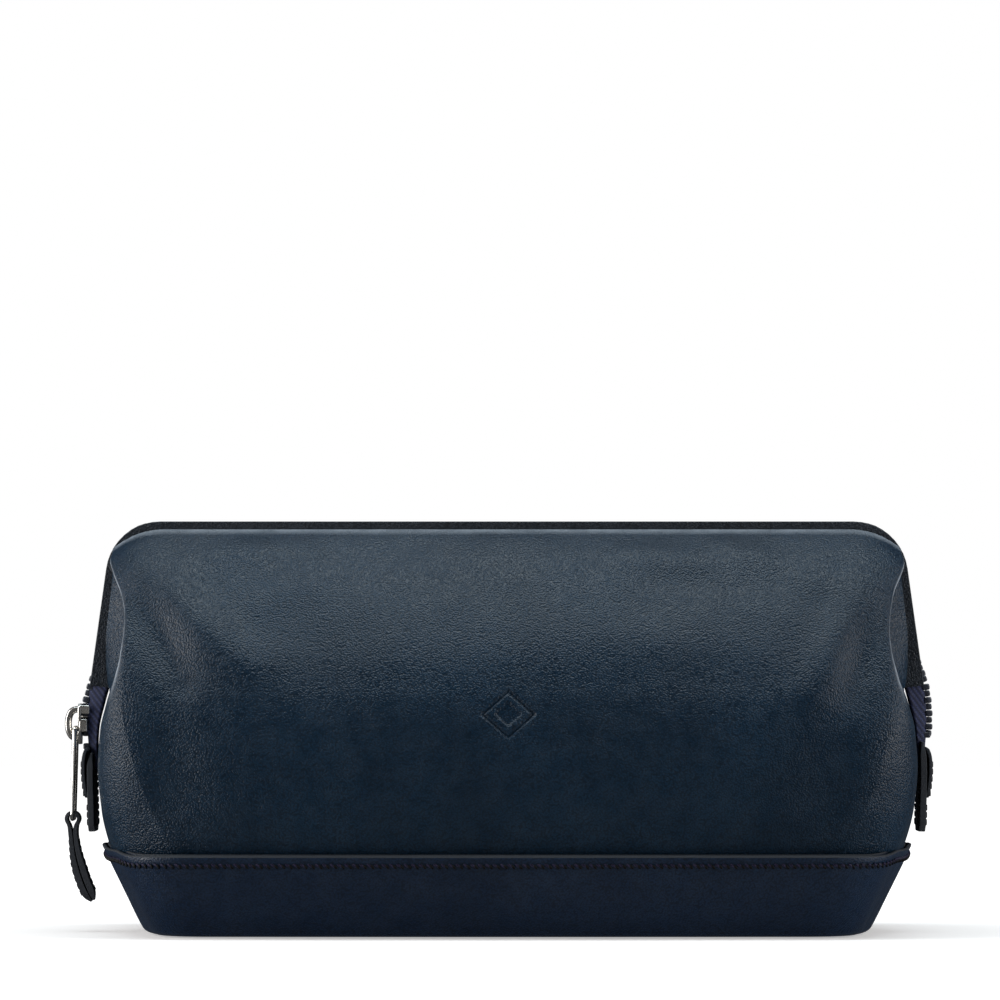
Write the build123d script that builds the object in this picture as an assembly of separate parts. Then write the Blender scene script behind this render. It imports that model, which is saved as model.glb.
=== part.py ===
"""Shaving kit bag: a framed leather wash bag with a zip over its top.

Millimetres, +Z up, +X to the right end of the bag, front face towards -Y.
The origin is the centre of the base, on the face the bag stands on.
"""
from build123d import *
import os
from math import atan2, degrees, hypot

os.makedirs("parts", exist_ok=True)

# ---------------------------------------------------------------- driving dimensions
LEATHER = 1.8              # thickness of the panels and gussets
BAND_LEATHER = 1.6         # thickness of the bottom band
BACKING = 1.0              # second layer behind the band's top edge
LINING = 0.6
AIR = 0.1                  # gap between layers that lie on each other

BAND_TOP = 30.0            # height of the band's top edge
BAND_FLOOR = 1.8           # thickness of the band under the bag
BOARD_TOP = 3.9            # top of the base board
WALL_BOTTOM = 18.0         # where the walls end inside the band
WALL_TOP = 82.0            # where the fixed walls give way to the moving upper panels
LINING_TOP = 80.4          # the fixed lining stops lower, clear of the panels as they swing out
PANEL_BOTTOM = 90.0        # lower edge of the moving upper panels
SEAM_X = 120.0             # where the front and back walls meet the end walls

FRAME_BOTTOM = 85.5        # cut ends of the frame sleeves
FRAME_TOP = 142.5
FRAME_FOOT_X = 145.1       # outer edge of a sleeve at its cut end
FRAME_HEAD_X = 137.2       # the same edge carried up to the top
FRAME_RADIUS = 14.0
SLEEVE_WIDTH = 8.5
SLEEVE_Y = (5.8, 9.0)      # the sleeve's two faces, measured from the middle of the bag
STEEL_Y = (6.75, 8.05)
STEEL_INSET = (1.3, 7.3)
TAPE_Y = (5.05, 5.75)
TAPE_INSET = (0.8, 12.0)

CHAIN_PITCH = 4.2          # teeth on one side; the two sides alternate
CHAIN_HALF = 2.7
TOOTH_LENGTH = 1.75
TOOTH_THICK = 2.6
CHAIN_FOOT = (146.0, 85.8)
CHAIN_KNEE = (145.7, 95.0)
CHAIN_HEAD = (134.9, 140.6)
TAIL_TOP = (146.0, 84.2)
TAIL_END = (146.5, 62.5)
TAIL_INNER_X = 143.2       # edge of the tail's tape nearest the bag

PANEL_HALF = 135.2         # half the width of an upper panel
PANEL_RADIUS = 12.0
PANEL_TOP = 139.4
TUCK_X = 125.0             # how far in the folded gusset reaches

TAB_HALF = 11.0
TAB_LAYER = 2.25
TAB_BOTTOM = 34.5
TAB_INNER_X = 142.9        # face of the tab nearest the bag

SLIDER_LENGTH = 14.0
SLIDER_CENTRE_Z = 72.0
SLIDER_HALF = 4.9
WIRE_RADIUS = 0.9
WIRE_TOP = (-150.6, 70.5)
WIRE_END = (-151.4, 39.0)
WIRE_HALF = 5.3
STRAP_HALF = 3.8
STRAP_THICK = 4.2
STRAP_TIP = (-145.2, 9.6)

# Plan outlines: height, x of the corners, x of the end's apex, half depth, corner radius.
BODY_LEVELS = [
    (18.0, 122.4, 132.5, 53.9, 16.0),
    (30.0, 127.3, 138.7, 59.7, 15.0),
    (44.0, 133.0, 141.4, 61.0, 13.0),
    (57.0, 137.0, 142.3, 60.6, 10.0),
    (70.0, 139.0, 141.0, 58.8, 7.0),
    (82.0, 139.3, 138.0, 55.3, 5.0),
]
BAND_LEVELS = [
    (0.0, 118.0, 126.0, 48.0, 14.0),
    (30.0, 130.0, 141.4, 62.4, 16.0),
]
# Outer surface of the front upper panel, from its lower edge to the frame: (y, z).
PANEL_PROFILE = [(-52.3, 90.0), (-44.0, 105.5), (-36.0, 115.5), (-20.0, 131.5), (-9.15, 139.0)]


STAND_XZ = Rot(90, 0, 0)                   # a face drawn as (x, z), thickened towards -Y
STAND_YZ = Rot(0, 0, 90) * Rot(90, 0, 0)   # a face drawn as (y, z), thickened towards +X


# ---------------------------------------------------------------- helpers
def save(shape, node, label=None):
    """Write one node to its own file."""
    shape.label = label or node
    export_step(shape, f"parts/{node}.step")


def box_between(low, high):
    size = [b - a for a, b in zip(low, high)]
    centre = [(a + b) / 2 for a, b in zip(low, high)]
    return Pos(*centre) * Box(*size)


def mirrored_back(shape):
    """The same piece on the back of the bag."""
    return mirror(shape, about=Plane.XZ)


def mirrored_left(shape):
    """The same piece on the left end of the bag."""
    return mirror(shape, about=Plane.YZ)


def level_at(levels, z):
    """Outline numbers at height z, straight between the two nearest levels."""
    for low, high in zip(levels, levels[1:]):
        if low[0] <= z <= high[0]:
            t = (z - low[0]) / (high[0] - low[0])
            return [a + t * (b - a) for a, b in zip(low, high)]
    raise ValueError(z)


def outline(levels, z, inset):
    """Closed plan outline: straight long sides, bulging ends, rounded corners."""
    _, corner_x, apex_x, half_depth, radius = level_at(levels, z)
    cx = corner_x - inset
    ax = apex_x - inset
    hd = half_depth - inset
    edges = [
        Line((-cx, -hd), (cx, -hd)),
        ThreePointArc((cx, -hd), (ax, 0), (cx, hd)),
        Line((cx, hd), (-cx, hd)),
        ThreePointArc((-cx, hd), (-ax, 0), (-cx, -hd)),
    ]
    face = make_face(edges)
    face = fillet(face.vertices(), radius - inset)
    return Pos(0, 0, z) * face


def solid_loft(levels, z_low, z_high, inset):
    heights = [z_low] + [lv[0] for lv in levels if z_low < lv[0] < z_high] + [z_high]
    return loft([outline(levels, z, inset) for z in heights], ruled=True)


def tube(levels, z_low, z_high, outer_inset, inner_inset):
    return solid_loft(levels, z_low, z_high, outer_inset) - solid_loft(levels, z_low, z_high, inner_inset)


def frame_outline(inset, bottom):
    """Trapezoid with rounded shoulders, in the XZ plane, `inset` inside the sleeve's outer edge."""
    slope = (FRAME_FOOT_X - FRAME_HEAD_X) / (FRAME_TOP - FRAME_BOTTOM)
    top = FRAME_TOP - inset
    head_x = FRAME_FOOT_X - slope * (top - FRAME_BOTTOM) - inset
    foot_x = FRAME_FOOT_X - slope * (bottom - FRAME_BOTTOM) - inset
    points = [(-foot_x, bottom), (foot_x, bottom), (head_x, top), (-head_x, top)]
    face = make_face(Polyline(*points, close=True))
    shoulders = face.vertices().sort_by(Axis.Y)[-2:]
    return fillet(shoulders, max(FRAME_RADIUS - inset, 2.5))


def frame_band(outer_inset, inner_inset, y_range, bottom=FRAME_BOTTOM):
    """U-shaped strip standing in the XZ plane on the front side of the bag."""
    face = frame_outline(outer_inset, bottom) - frame_outline(inner_inset, bottom)
    strip = extrude(face, y_range[1] - y_range[0])
    return Pos(0, -y_range[0], 0) * STAND_XZ * strip


def tooth_row(path, y_low, y_high, first, pitch):
    """Zip teeth along a path in the XZ plane."""
    teeth = []
    distance = first
    while distance < path.length - TOOTH_LENGTH / 2:
        spot = path.position_at(distance, position_mode=PositionMode.LENGTH)
        along = path.tangent_at(distance, position_mode=PositionMode.LENGTH)
        turn = degrees(atan2(along.Y, along.X))
        tooth = Box(TOOTH_LENGTH, y_high - y_low, TOOTH_THICK)
        teeth.append(Pos(spot.X, (y_low + y_high) / 2, spot.Y) * Rot(0, -turn, 0) * tooth)
        distance += pitch
    return Compound(teeth)


# ---------------------------------------------------------------- fixed lower bag
def make_base():
    band = solid_loft(BAND_LEVELS, 0, BAND_TOP, 0) - solid_loft(BAND_LEVELS, BAND_FLOOR, BAND_TOP, BAND_LEATHER)
    save(band, "bottom_band")
    board = solid_loft(BAND_LEVELS, BAND_FLOOR + AIR, BOARD_TOP, BAND_LEATHER + AIR)
    save(board, "base_board")
    backing = tube(BODY_LEVELS, 20.0, BAND_TOP - 0.5, -BACKING - AIR / 2, -AIR / 2)
    save(backing, "band_backing")
    tray_outer = solid_loft(BAND_LEVELS, BOARD_TOP + AIR, WALL_BOTTOM - AIR, BAND_LEATHER + AIR)
    tray_inner = solid_loft(BAND_LEVELS, BOARD_TOP + AIR + LINING, WALL_BOTTOM - AIR, BAND_LEATHER + AIR + LINING)
    save(tray_outer - tray_inner, "lining_base")


def make_band_stitches():
    """One row of thread below the band's top edge, each stitch a short bar lying on the leather."""
    row_z = BAND_TOP - 3.5
    pitch = 3.4
    face = outline(BAND_LEVELS, row_z, -0.55)
    loop = face.face().outer_wire()
    count = int(loop.length / pitch)
    stitches = []
    for i in range(count):
        spot = loop.position_at(i / count)
        along = loop.tangent_at(i / count)
        turn = degrees(atan2(along.Y, along.X))
        stitches.append(Pos(spot.X, spot.Y, row_z) * Rot(0, 0, turn) * Box(2.6, 0.5, 0.6))
    save(Compound(stitches), "band_stitches")


def make_walls():
    wall = tube(BODY_LEVELS, WALL_BOTTOM, WALL_TOP, 0, LEATHER)
    middle = box_between((-SEAM_X, -80, 0), (SEAM_X, 0, 100))
    right = box_between((SEAM_X, -80, 0), (160, 80, 100))
    front = wall & middle
    end = wall & right
    save(front, "front_panel_lower")
    save(mirrored_back(front), "back_panel_lower")
    save(end, "right_gusset_lower")
    save(mirrored_left(end), "left_gusset_lower")
    lining = tube(BODY_LEVELS, WALL_BOTTOM, LINING_TOP, LEATHER + AIR, LEATHER + AIR + LINING)
    save(lining, "lining_walls")


# ---------------------------------------------------------------- upper panels that move with a frame
def profile_sheet(outer_inset, inner_inset):
    """Face between two curves parallel to the panel's outer surface, drawn as (y, z)."""
    curve = Spline(*PANEL_PROFILE)

    def shifted(inset):
        points = []
        for t in (0.0, 0.2, 0.4, 0.6, 0.8, 1.0):
            spot = curve.position_at(t)
            along = curve.tangent_at(t)
            points.append((spot.X + along.Y * inset, spot.Y - along.X * inset))
        return points

    outer = shifted(outer_inset)
    inner = shifted(inner_inset)
    edges = [Spline(*outer), Line(outer[-1], inner[-1]), Spline(*inner[::-1]), Line(inner[0], outer[0])]
    return make_face(edges)


def upper_sheet(outer_inset, inner_inset, half, top, radius):
    """Curved sheet along the bag with rounded top corners."""
    face = profile_sheet(outer_inset, inner_inset)
    sheet = STAND_YZ * extrude(face, 2 * half)
    sheet = Pos(-half, 0, 0) * sheet
    window = make_face(Polyline((-half, 60), (half, 60), (half, top), (-half, top), close=True))
    window = fillet(window.vertices().sort_by(Axis.Y)[-2:], radius)
    cutter = STAND_XZ * extrude(window, 80)
    return sheet & cutter & box_between((-half, -80, 60), (half, -SLEEVE_Y[1] - AIR, top))


def panel_y(z):
    """Front surface of the upper panel at height z, straight between the profile's points."""
    for low, high in zip(PANEL_PROFILE, PANEL_PROFILE[1:]):
        if low[1] <= z <= high[1]:
            t = (z - low[1]) / (high[1] - low[1])
            return low[0] + t * (high[0] - low[0])
    raise ValueError(z)


def gusset_section(z):
    """V-shaped section of the right end's folded gusset, front half."""
    slope = (FRAME_FOOT_X - FRAME_HEAD_X) / (FRAME_TOP - FRAME_BOTTOM)
    fin_x = FRAME_FOOT_X - slope * (z - FRAME_BOTTOM) - SLEEVE_WIDTH + 2.5
    start = (PANEL_HALF - 1.0, panel_y(z) + LEATHER + 1.6)
    end = (fin_x, -SLEEVE_Y[1] - 0.2)
    tuck = (TUCK_X, (start[1] + end[1]) / 2)
    outer = [start, tuck, end]
    inner = [(x - LEATHER, y) for x, y in reversed(outer)]
    return Pos(0, 0, z) * make_face(Polyline(*outer, *inner, close=True))


def make_front_upper():
    """Panel, lining, folded gusset halves, frame, sleeve, tape and teeth of the front."""
    pieces = {}
    pieces["panel_upper"] = upper_sheet(0, LEATHER, PANEL_HALF, PANEL_TOP, PANEL_RADIUS)
    pieces["lining_upper"] = upper_sheet(
        LEATHER + AIR, LEATHER + AIR + LINING, PANEL_HALF - 3.2, PANEL_TOP - 2.0, PANEL_RADIUS
    )
    gusset = loft([gusset_section(z) for z in (PANEL_BOTTOM, 104.0, 116.0, 127.0)], ruled=True)
    pieces["gusset_right"] = gusset
    pieces["gusset_left"] = mirrored_left(gusset)
    sleeve = frame_band(0, SLEEVE_WIDTH, SLEEVE_Y)
    pocket = frame_band(
        STEEL_INSET[0] - AIR, STEEL_INSET[1] + AIR, (STEEL_Y[0] - AIR, STEEL_Y[1] + AIR), FRAME_BOTTOM + 2.0
    )
    pieces["frame_sleeve"] = sleeve - pocket
    pieces["frame_bar"] = frame_band(*STEEL_INSET, STEEL_Y, FRAME_BOTTOM + 2.2)
    pieces["zip_tape"] = frame_band(*TAPE_INSET, TAPE_Y)
    return pieces


def chain_path():
    """Middle line of the zip chain from the left leg over the top to the right leg."""
    right = [CHAIN_HEAD, CHAIN_KNEE, CHAIN_FOOT]
    left = [(-x, z) for x, z in reversed(right)]
    return FilletPolyline(*left, *right, radius=[20.0, 13.0, 13.0, 20.0])


def make_uppers():
    path = chain_path()
    front = make_front_upper()
    for name, shape in front.items():
        save(shape, f"front_{name}")
        save(mirrored_back(shape), f"back_{name}")
    first = TOOTH_LENGTH / 2 + 0.1
    save(tooth_row(path, -CHAIN_HALF, -0.15, first, CHAIN_PITCH), "front_zip_teeth")
    save(tooth_row(path, 0.15, CHAIN_HALF, first + CHAIN_PITCH / 2, CHAIN_PITCH), "back_zip_teeth")


# ---------------------------------------------------------------- zip tails, tabs, slider and pull
def make_tail(side, tape_bottom, name):
    """Loose end of the zip below the frames: two strips of tape with the closed chain between them."""
    points = [(TAIL_INNER_X, tape_bottom), (TAIL_END[0] + 0.6, tape_bottom), (TAIL_TOP[0] + 0.6, TAIL_TOP[1]),
              (TAIL_INNER_X, TAIL_TOP[1])]
    face = make_face(Polyline(*[(side * x, z) for x, z in points], close=True))
    strip = Pos(0, -TAPE_Y[0], 0) * STAND_XZ * extrude(face, TAPE_Y[1] - TAPE_Y[0], dir=(0, 0, 1))
    save(Compound([strip, mirrored_back(strip)]), f"{name}_tail_tape")
    path = Line((side * TAIL_END[0], tape_bottom + 3.2), (side * TAIL_TOP[0], TAIL_TOP[1]))
    teeth = tooth_row(path, -CHAIN_HALF, CHAIN_HALF, TOOTH_LENGTH / 2, CHAIN_PITCH / 2)
    save(teeth, f"{name}_tail_teeth")
    stop_low = (side * TAIL_END[0] - 1.3, -3.0, tape_bottom + 0.6)
    stop_high = (side * TAIL_END[0] + 1.3, 3.0, tape_bottom + 2.8)
    save(box_between(stop_low, stop_high), f"{name}_zip_stop")


def tab_layer(x_low, x_high, top):
    """Leather tab standing across the bag's end, with rounded lower corners."""
    face = make_face(Polyline((-TAB_HALF, TAB_BOTTOM), (TAB_HALF, TAB_BOTTOM), (TAB_HALF, top), (-TAB_HALF, top),
                              close=True))
    face = fillet(face.vertices().sort_by(Axis.Y)[:2], 4.0)
    slab = STAND_YZ * extrude(face, x_high - x_low)
    return Pos(x_low, 0, 0) * slab


def make_tab(side, top, name):
    outer_low = TAB_INNER_X + TAB_LAYER + AIR
    inner = tab_layer(TAB_INNER_X, TAB_INNER_X + TAB_LAYER, top)
    outer = tab_layer(outer_low, outer_low + TAB_LAYER, top)
    thread_x = outer_low + TAB_LAYER
    stitches = []
    for edge_y in (-TAB_HALF + 2.5, TAB_HALF - 2.5):
        z = TAB_BOTTOM + 5.0
        while z < top - 3.0:
            stitches.append(box_between((thread_x, edge_y - 0.3, z - 1.2), (thread_x + 0.4, edge_y + 0.3, z + 1.2)))
            z += 3.2
    stitches = Compound(stitches)
    if side < 0:
        inner, outer, stitches = (mirrored_left(piece) for piece in (inner, outer, stitches))
    save(inner, f"{name}_tab_inner")
    save(outer, f"{name}_tab_outer")
    save(stitches, f"{name}_tab_stitches")


def make_slider():
    """Slider body round the chain, with a crown that the pull's wire hangs in."""
    rise = TAIL_TOP[1] - TAIL_END[1]
    t = (SLIDER_CENTRE_Z - TAIL_END[1]) / rise
    centre_x = -(TAIL_END[0] + t * (TAIL_TOP[0] - TAIL_END[0]))
    lean = degrees(atan2(TAIL_END[0] - TAIL_TOP[0], rise))
    shell = box_between((-3.1, -SLIDER_HALF, -7), (2.9, SLIDER_HALF, 7))
    shell = fillet(shell.edges().filter_by(Axis.X), 2.0)
    channel = box_between((-1.7, -3.5, -8), (1.7, 3.5, 8))
    slots = box_between((-0.6, -6, -4), (0.6, 6, 8))
    body = Pos(centre_x, 0, SLIDER_CENTRE_Z) * Rot(0, lean, 0) * (shell - channel - slots)
    save(body, "slider_body")
    arc = ThreePointArc((centre_x - 2.6, 77.2), (-153.2, 72.0), (centre_x - 2.6, 66.8))
    arc = STAND_XZ * arc
    section = Plane(origin=arc @ 0, z_dir=arc % 0) * Circle(0.85)
    outside = box_between((-160, -5, 60), (centre_x - 2.3, 5, 90))
    crown = (sweep(section, path=arc) & outside) - body
    save(crown, "slider_crown")


def make_pull():
    """Long wire loop hanging in the crown, and a folded leather strap hanging in the loop."""
    drop = hypot(WIRE_END[0] - WIRE_TOP[0], WIRE_END[1] - WIRE_TOP[1])
    lean = degrees(atan2(WIRE_TOP[0] - WIRE_END[0], WIRE_TOP[1] - WIRE_END[1]))
    loop = RectangleRounded(2 * WIRE_HALF, drop, 1.3).face().outer_wire()
    loop = STAND_YZ * loop
    section = Plane(origin=loop @ 0, z_dir=loop % 0) * Circle(WIRE_RADIUS)
    wire = sweep(section, path=loop)
    middle = ((WIRE_TOP[0] + WIRE_END[0]) / 2, (WIRE_TOP[1] + WIRE_END[1]) / 2)
    save(Pos(middle[0], 0, middle[1]) * Rot(0, lean, 0) * wire, "pull_wire")

    centreline = Spline(WIRE_END, (-150.2, 29.0), (-147.9, 19.0), STRAP_TIP)
    half = STRAP_THICK / 2
    left_side = []
    right_side = []
    for t in (0.0, 0.25, 0.5, 0.75, 1.0):
        spot = centreline.position_at(t)
        along = centreline.tangent_at(t)
        left_side.append((spot.X - along.Y * half, spot.Y + along.X * half))
        right_side.append((spot.X + along.Y * half, spot.Y - along.X * half))
    blade = make_face([Spline(*left_side), Line(left_side[-1], right_side[-1]), Spline(*right_side[::-1]),
                       Line(right_side[0], left_side[0])])
    eye = Pos(*WIRE_END) * Circle(3.0)
    face = blade + eye - Pos(*WIRE_END) * Circle(WIRE_RADIUS + 0.2)
    strap = STAND_XZ * extrude(face, 2 * STRAP_HALF)
    strap = Pos(0, STRAP_HALF, 0) * strap
    save(strap, "pull_strap")

    stitches = []
    for t in (0.3, 0.42, 0.54, 0.66, 0.78, 0.9):
        spot = centreline.position_at(t)
        along = centreline.tangent_at(t)
        turn = degrees(atan2(along.X, -along.Y))
        for edge_y in (-STRAP_HALF + 1.5, STRAP_HALF - 1.5):
            thread = Pos(spot.X, edge_y, spot.Y) * Rot(0, -turn, 0) * Pos(-half - 0.3, 0, 0) * Box(0.4, 0.5, 2.0)
            stitches.append(thread)
    save(Compound(stitches), "pull_strap_stitches")


make_base()
make_band_stitches()
make_walls()
make_uppers()
make_tail(-1, 62.5, "left")
make_tail(1, 66.5, "right")
make_tab(-1, 61.0, "left")
make_tab(1, 65.0, "right")
make_slider()
make_pull()
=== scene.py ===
"""Looks of a framed leather shaving kit bag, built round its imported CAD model.

Blender units are metres. Sizes in this script are in millimetres, and add_mesh turns them into metres.
+Z is up, +X is the right end, and the front faces -Y.
"""
from math import atan2, ceil, cos, hypot, pi, radians, sin, tan

import bpy
import numpy as np
from mathutils import Euler, Matrix, Vector, noise


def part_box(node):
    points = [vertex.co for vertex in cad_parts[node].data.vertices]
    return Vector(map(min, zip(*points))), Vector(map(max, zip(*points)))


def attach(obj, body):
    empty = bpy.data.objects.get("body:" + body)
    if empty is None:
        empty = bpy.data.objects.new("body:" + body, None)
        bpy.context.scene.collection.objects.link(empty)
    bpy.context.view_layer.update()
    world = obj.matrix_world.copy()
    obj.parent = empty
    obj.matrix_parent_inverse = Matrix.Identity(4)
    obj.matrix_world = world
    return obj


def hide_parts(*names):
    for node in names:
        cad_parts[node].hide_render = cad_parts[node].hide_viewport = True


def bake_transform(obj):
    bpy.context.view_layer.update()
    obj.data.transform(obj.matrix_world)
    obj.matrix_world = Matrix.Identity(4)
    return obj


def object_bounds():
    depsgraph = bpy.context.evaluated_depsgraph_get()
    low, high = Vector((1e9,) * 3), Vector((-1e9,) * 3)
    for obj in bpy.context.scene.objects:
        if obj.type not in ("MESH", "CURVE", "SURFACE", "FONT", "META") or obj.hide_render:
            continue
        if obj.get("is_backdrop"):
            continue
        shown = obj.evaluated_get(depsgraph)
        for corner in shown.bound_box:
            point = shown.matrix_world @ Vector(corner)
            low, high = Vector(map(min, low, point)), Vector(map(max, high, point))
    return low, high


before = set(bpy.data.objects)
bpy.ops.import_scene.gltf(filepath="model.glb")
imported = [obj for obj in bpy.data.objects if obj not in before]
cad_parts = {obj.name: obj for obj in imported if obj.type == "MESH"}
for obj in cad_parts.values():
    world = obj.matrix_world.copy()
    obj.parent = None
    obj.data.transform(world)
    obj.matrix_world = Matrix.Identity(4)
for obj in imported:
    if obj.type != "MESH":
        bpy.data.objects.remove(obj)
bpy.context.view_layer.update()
MM = 0.001


def cad_box(node):
    """A CAD node's lowest and highest corners in millimetres."""
    low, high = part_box(node)
    return np.array(low) / MM, np.array(high) / MM


# ---------------------------------------------------------------- driving dimensions, from the frame
BAND_LOW, BAND_HIGH = cad_box("bottom_band")
SLEEVE_LOW, SLEEVE_HIGH = cad_box("front_frame_sleeve")
BAND_TOP = BAND_HIGH[2]
FIN_FOOT_X = SLEEVE_HIGH[0]
FIN_TOP = SLEEVE_HIGH[2]
FIN_BOTTOM = SLEEVE_LOW[2]
FIN_FRONT = -SLEEVE_LOW[1]
FIN_BACK = -SLEEVE_HIGH[1]
FIN_HEAD_X = FIN_FOOT_X - 7.9
FIN_WIDTH = 8.5
FIN_RADIUS = 19.0
LEATHER = 1.4
PANEL_TOP = 139.7          # the panel's rolled edge along the middle
SHOULDER_TOP = 132.4       # the same edge at the bag's shoulders


# ---------------------------------------------------------------- small helpers
def smooth_table(*pairs):
    """Smooth curve through (height, value) pairs, as a function of height."""
    xs = np.array([p[0] for p in pairs], float)
    ys = np.array([p[1] for p in pairs], float)
    slopes = np.diff(ys) / np.diff(xs)
    tangents = np.zeros(len(xs))
    tangents[0], tangents[-1] = slopes[0], slopes[-1]
    for i in range(1, len(xs) - 1):
        a, b = slopes[i - 1], slopes[i]
        tangents[i] = 0.0 if a * b <= 0 else 2 * a * b / (a + b)

    def at(h):
        h = np.clip(np.asarray(h, float), xs[0], xs[-1])
        i = np.clip(np.searchsorted(xs, h, side="right") - 1, 0, len(xs) - 2)
        span = xs[i + 1] - xs[i]
        t = (h - xs[i]) / span
        return (
            (2 * t**3 - 3 * t**2 + 1) * ys[i]
            + (t**3 - 2 * t**2 + t) * span * tangents[i]
            + (3 * t**2 - 2 * t**3) * ys[i + 1]
            + (t**3 - t**2) * span * tangents[i + 1]
        )

    return at


def smoothstep(x, low, high):
    t = np.clip((x - low) / (high - low), 0, 1)
    return t * t * (3 - 2 * t)


def add_mesh(name, verts, faces, materials, body=None, smooth=True, face_materials=None, painted_highlight=None):
    """Makes a mesh piece from millimetre points, with its rest position stored for its textures."""
    mesh = bpy.data.meshes.new(name)
    verts = np.asarray(verts, float) * MM
    mesh.from_pydata([tuple(v) for v in verts], [], [tuple(int(i) for i in f) for f in faces])
    for material in materials if isinstance(materials, (list, tuple)) else [materials]:
        mesh.materials.append(material)
    mesh.polygons.foreach_set("use_smooth", [smooth] * len(mesh.polygons))
    if face_materials is not None:
        mesh.polygons.foreach_set("material_index", [int(i) for i in face_materials])
    rest = mesh.attributes.new("rest", "FLOAT_VECTOR", "POINT")
    rest.data.foreach_set("vector", verts.ravel())
    # Per-point strength of a painted highlight, read by the leather shader.
    if painted_highlight is not None:
        highlight_paint = mesh.attributes.new("painted_highlight", "FLOAT", "POINT")
        highlight_paint.data.foreach_set("value", np.asarray(painted_highlight, float).ravel())
    mesh.update()
    obj = bpy.data.objects.new(name, mesh)
    bpy.context.scene.collection.objects.link(obj)
    if body:
        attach(obj, body)
    return obj


def round_edges(obj, width, segments=2, angle=35):
    """Rounds a piece's sharp edges, with smooth shading across flat faces kept flat."""
    bevel = obj.modifiers.new("rounding", "BEVEL")
    bevel.width = width * MM
    bevel.segments = segments
    bevel.limit_method = "ANGLE"
    bevel.angle_limit = radians(angle)
    bevel.harden_normals = True
    return obj


def rounded_path(points, radii, step):
    """Points along a polyline whose inner corners are arcs, about `step` apart, with the corner ends kept."""
    points = [np.array(p, float) for p in points]
    runs = []
    last = points[0]
    for before, corner, after, radius in zip(points, points[1:], points[2:], radii):
        a = (before - corner) / np.linalg.norm(before - corner)
        b = (after - corner) / np.linalg.norm(after - corner)
        half = np.arccos(np.clip(np.dot(a, b), -1, 1)) / 2
        cut = radius / tan(half)
        start, end = corner + a * cut, corner + b * cut
        centre = corner + (a + b) / np.linalg.norm(a + b) * radius / sin(half)
        runs.append([last, start])
        count = max(3, ceil(radius * (pi - 2 * half) / step))
        e1 = (start - centre) / radius
        e2 = end - centre - np.dot(end - centre, e1) * e1
        e2 /= np.linalg.norm(e2)
        sweep = pi - 2 * half
        arc = [centre + radius * (e1 * cos(sweep * i / count) + e2 * sin(sweep * i / count)) for i in range(count + 1)]
        runs.append(arc)
        last = end
    runs.append([last, points[-1]])
    path = [runs[0][0]]
    for run in runs:
        if len(run) == 2:
            count = max(1, int(round(np.linalg.norm(run[1] - run[0]) / step)))
            run = [run[0] + (run[1] - run[0]) * i / count for i in range(count + 1)]
        path.extend(run[1:])
    return np.array(path)


def along(path):
    """Distance travelled at each point of a path."""
    return np.concatenate([[0], np.cumsum(np.linalg.norm(np.diff(path, axis=0), axis=1))])


def inward_normals(path):
    """Unit normals of a path drawn as (x, z), pointing to its right-hand side."""
    tangent = np.gradient(path, axis=0)
    tangent /= np.linalg.norm(tangent, axis=1)[:, None]
    return np.stack([tangent[:, 1], -tangent[:, 0]], axis=1)


def grid_faces(rows, cols, start=0, flip=False, closed=False):
    faces = []
    for r in range(rows - 1):
        for c in range(cols if closed else cols - 1):
            d = (c + 1) % cols
            quad = (start + r * cols + c, start + r * cols + d, start + (r + 1) * cols + d, start + (r + 1) * cols + c)
            faces.append(quad[::-1] if flip else quad)
    return faces


def tube(points, radius, sides=12, closed=False, flatten=1.0):
    """Points and faces of a round bar along a path of 3-D points."""
    points = np.array(points, float)
    count = len(points)
    if closed:
        tangent = np.roll(points, -1, axis=0) - np.roll(points, 1, axis=0)
    else:
        tangent = np.gradient(points, axis=0)
    tangent /= np.linalg.norm(tangent, axis=1)[:, None]
    side = np.array([0.0, 1.0, 0.0])
    verts = []
    for i in range(count):
        side = side - np.dot(side, tangent[i]) * tangent[i]
        if np.linalg.norm(side) < 1e-3:
            side = np.cross(tangent[i], (1.0, 0.0, 0.0))
        side /= np.linalg.norm(side)
        up = np.cross(tangent[i], side)
        for k in range(sides):
            angle = 2 * pi * k / sides
            verts.append(points[i] + radius * (cos(angle) * side + flatten * sin(angle) * up))
    faces = grid_faces(count, sides, closed=True)
    if closed:
        last = (count - 1) * sides
        faces += [(last + k, last + (k + 1) % sides, (k + 1) % sides, k) for k in range(sides)]
    else:
        faces.append(tuple(range(sides))[::-1])
        faces.append(tuple((count - 1) * sides + k for k in range(sides)))
    return np.array(verts), faces


def capsule(start, end, radius, sides=8):
    """A short rounded thread stitch from start to end."""
    start, end = np.array(start, float), np.array(end, float)
    axis = (end - start) / np.linalg.norm(end - start)
    helper = np.array([0, 0, 1.0]) if abs(axis[2]) < 0.8 else np.array([1.0, 0, 0])
    u = np.cross(axis, helper)
    u /= np.linalg.norm(u)
    v = np.cross(axis, u)
    verts = [start - axis * radius]
    rings = [(start, -0.7, 0.7), (start, 0.0, 1.0), ((start + end) / 2, 0.0, 1.12), (end, 0.0, 1.0), (end, 0.7, 0.7)]
    for centre, shift, size in rings:
        for k in range(sides):
            angle = 2 * pi * k / sides
            verts.append(centre + axis * radius * shift + radius * size * (cos(angle) * u + sin(angle) * v))
    verts.append(end + axis * radius)
    faces = [(0, 1 + (k + 1) % sides, 1 + k) for k in range(sides)]
    faces += [tuple(1 + i for i in f) for f in grid_faces(len(rings), sides, closed=True)]
    base = 1 + (len(rings) - 1) * sides
    tip = len(verts) - 1
    faces += [(base + k, base + (k + 1) % sides, tip) for k in range(sides)]
    return np.array(verts), faces


def merge(parts):
    """Joins several (points, faces) into one."""
    verts, faces, base = [], [], 0
    for v, f in parts:
        verts.append(np.asarray(v, float))
        faces += [tuple(i + base for i in face) for face in f]
        base += len(v)
    return np.concatenate(verts), faces


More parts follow.
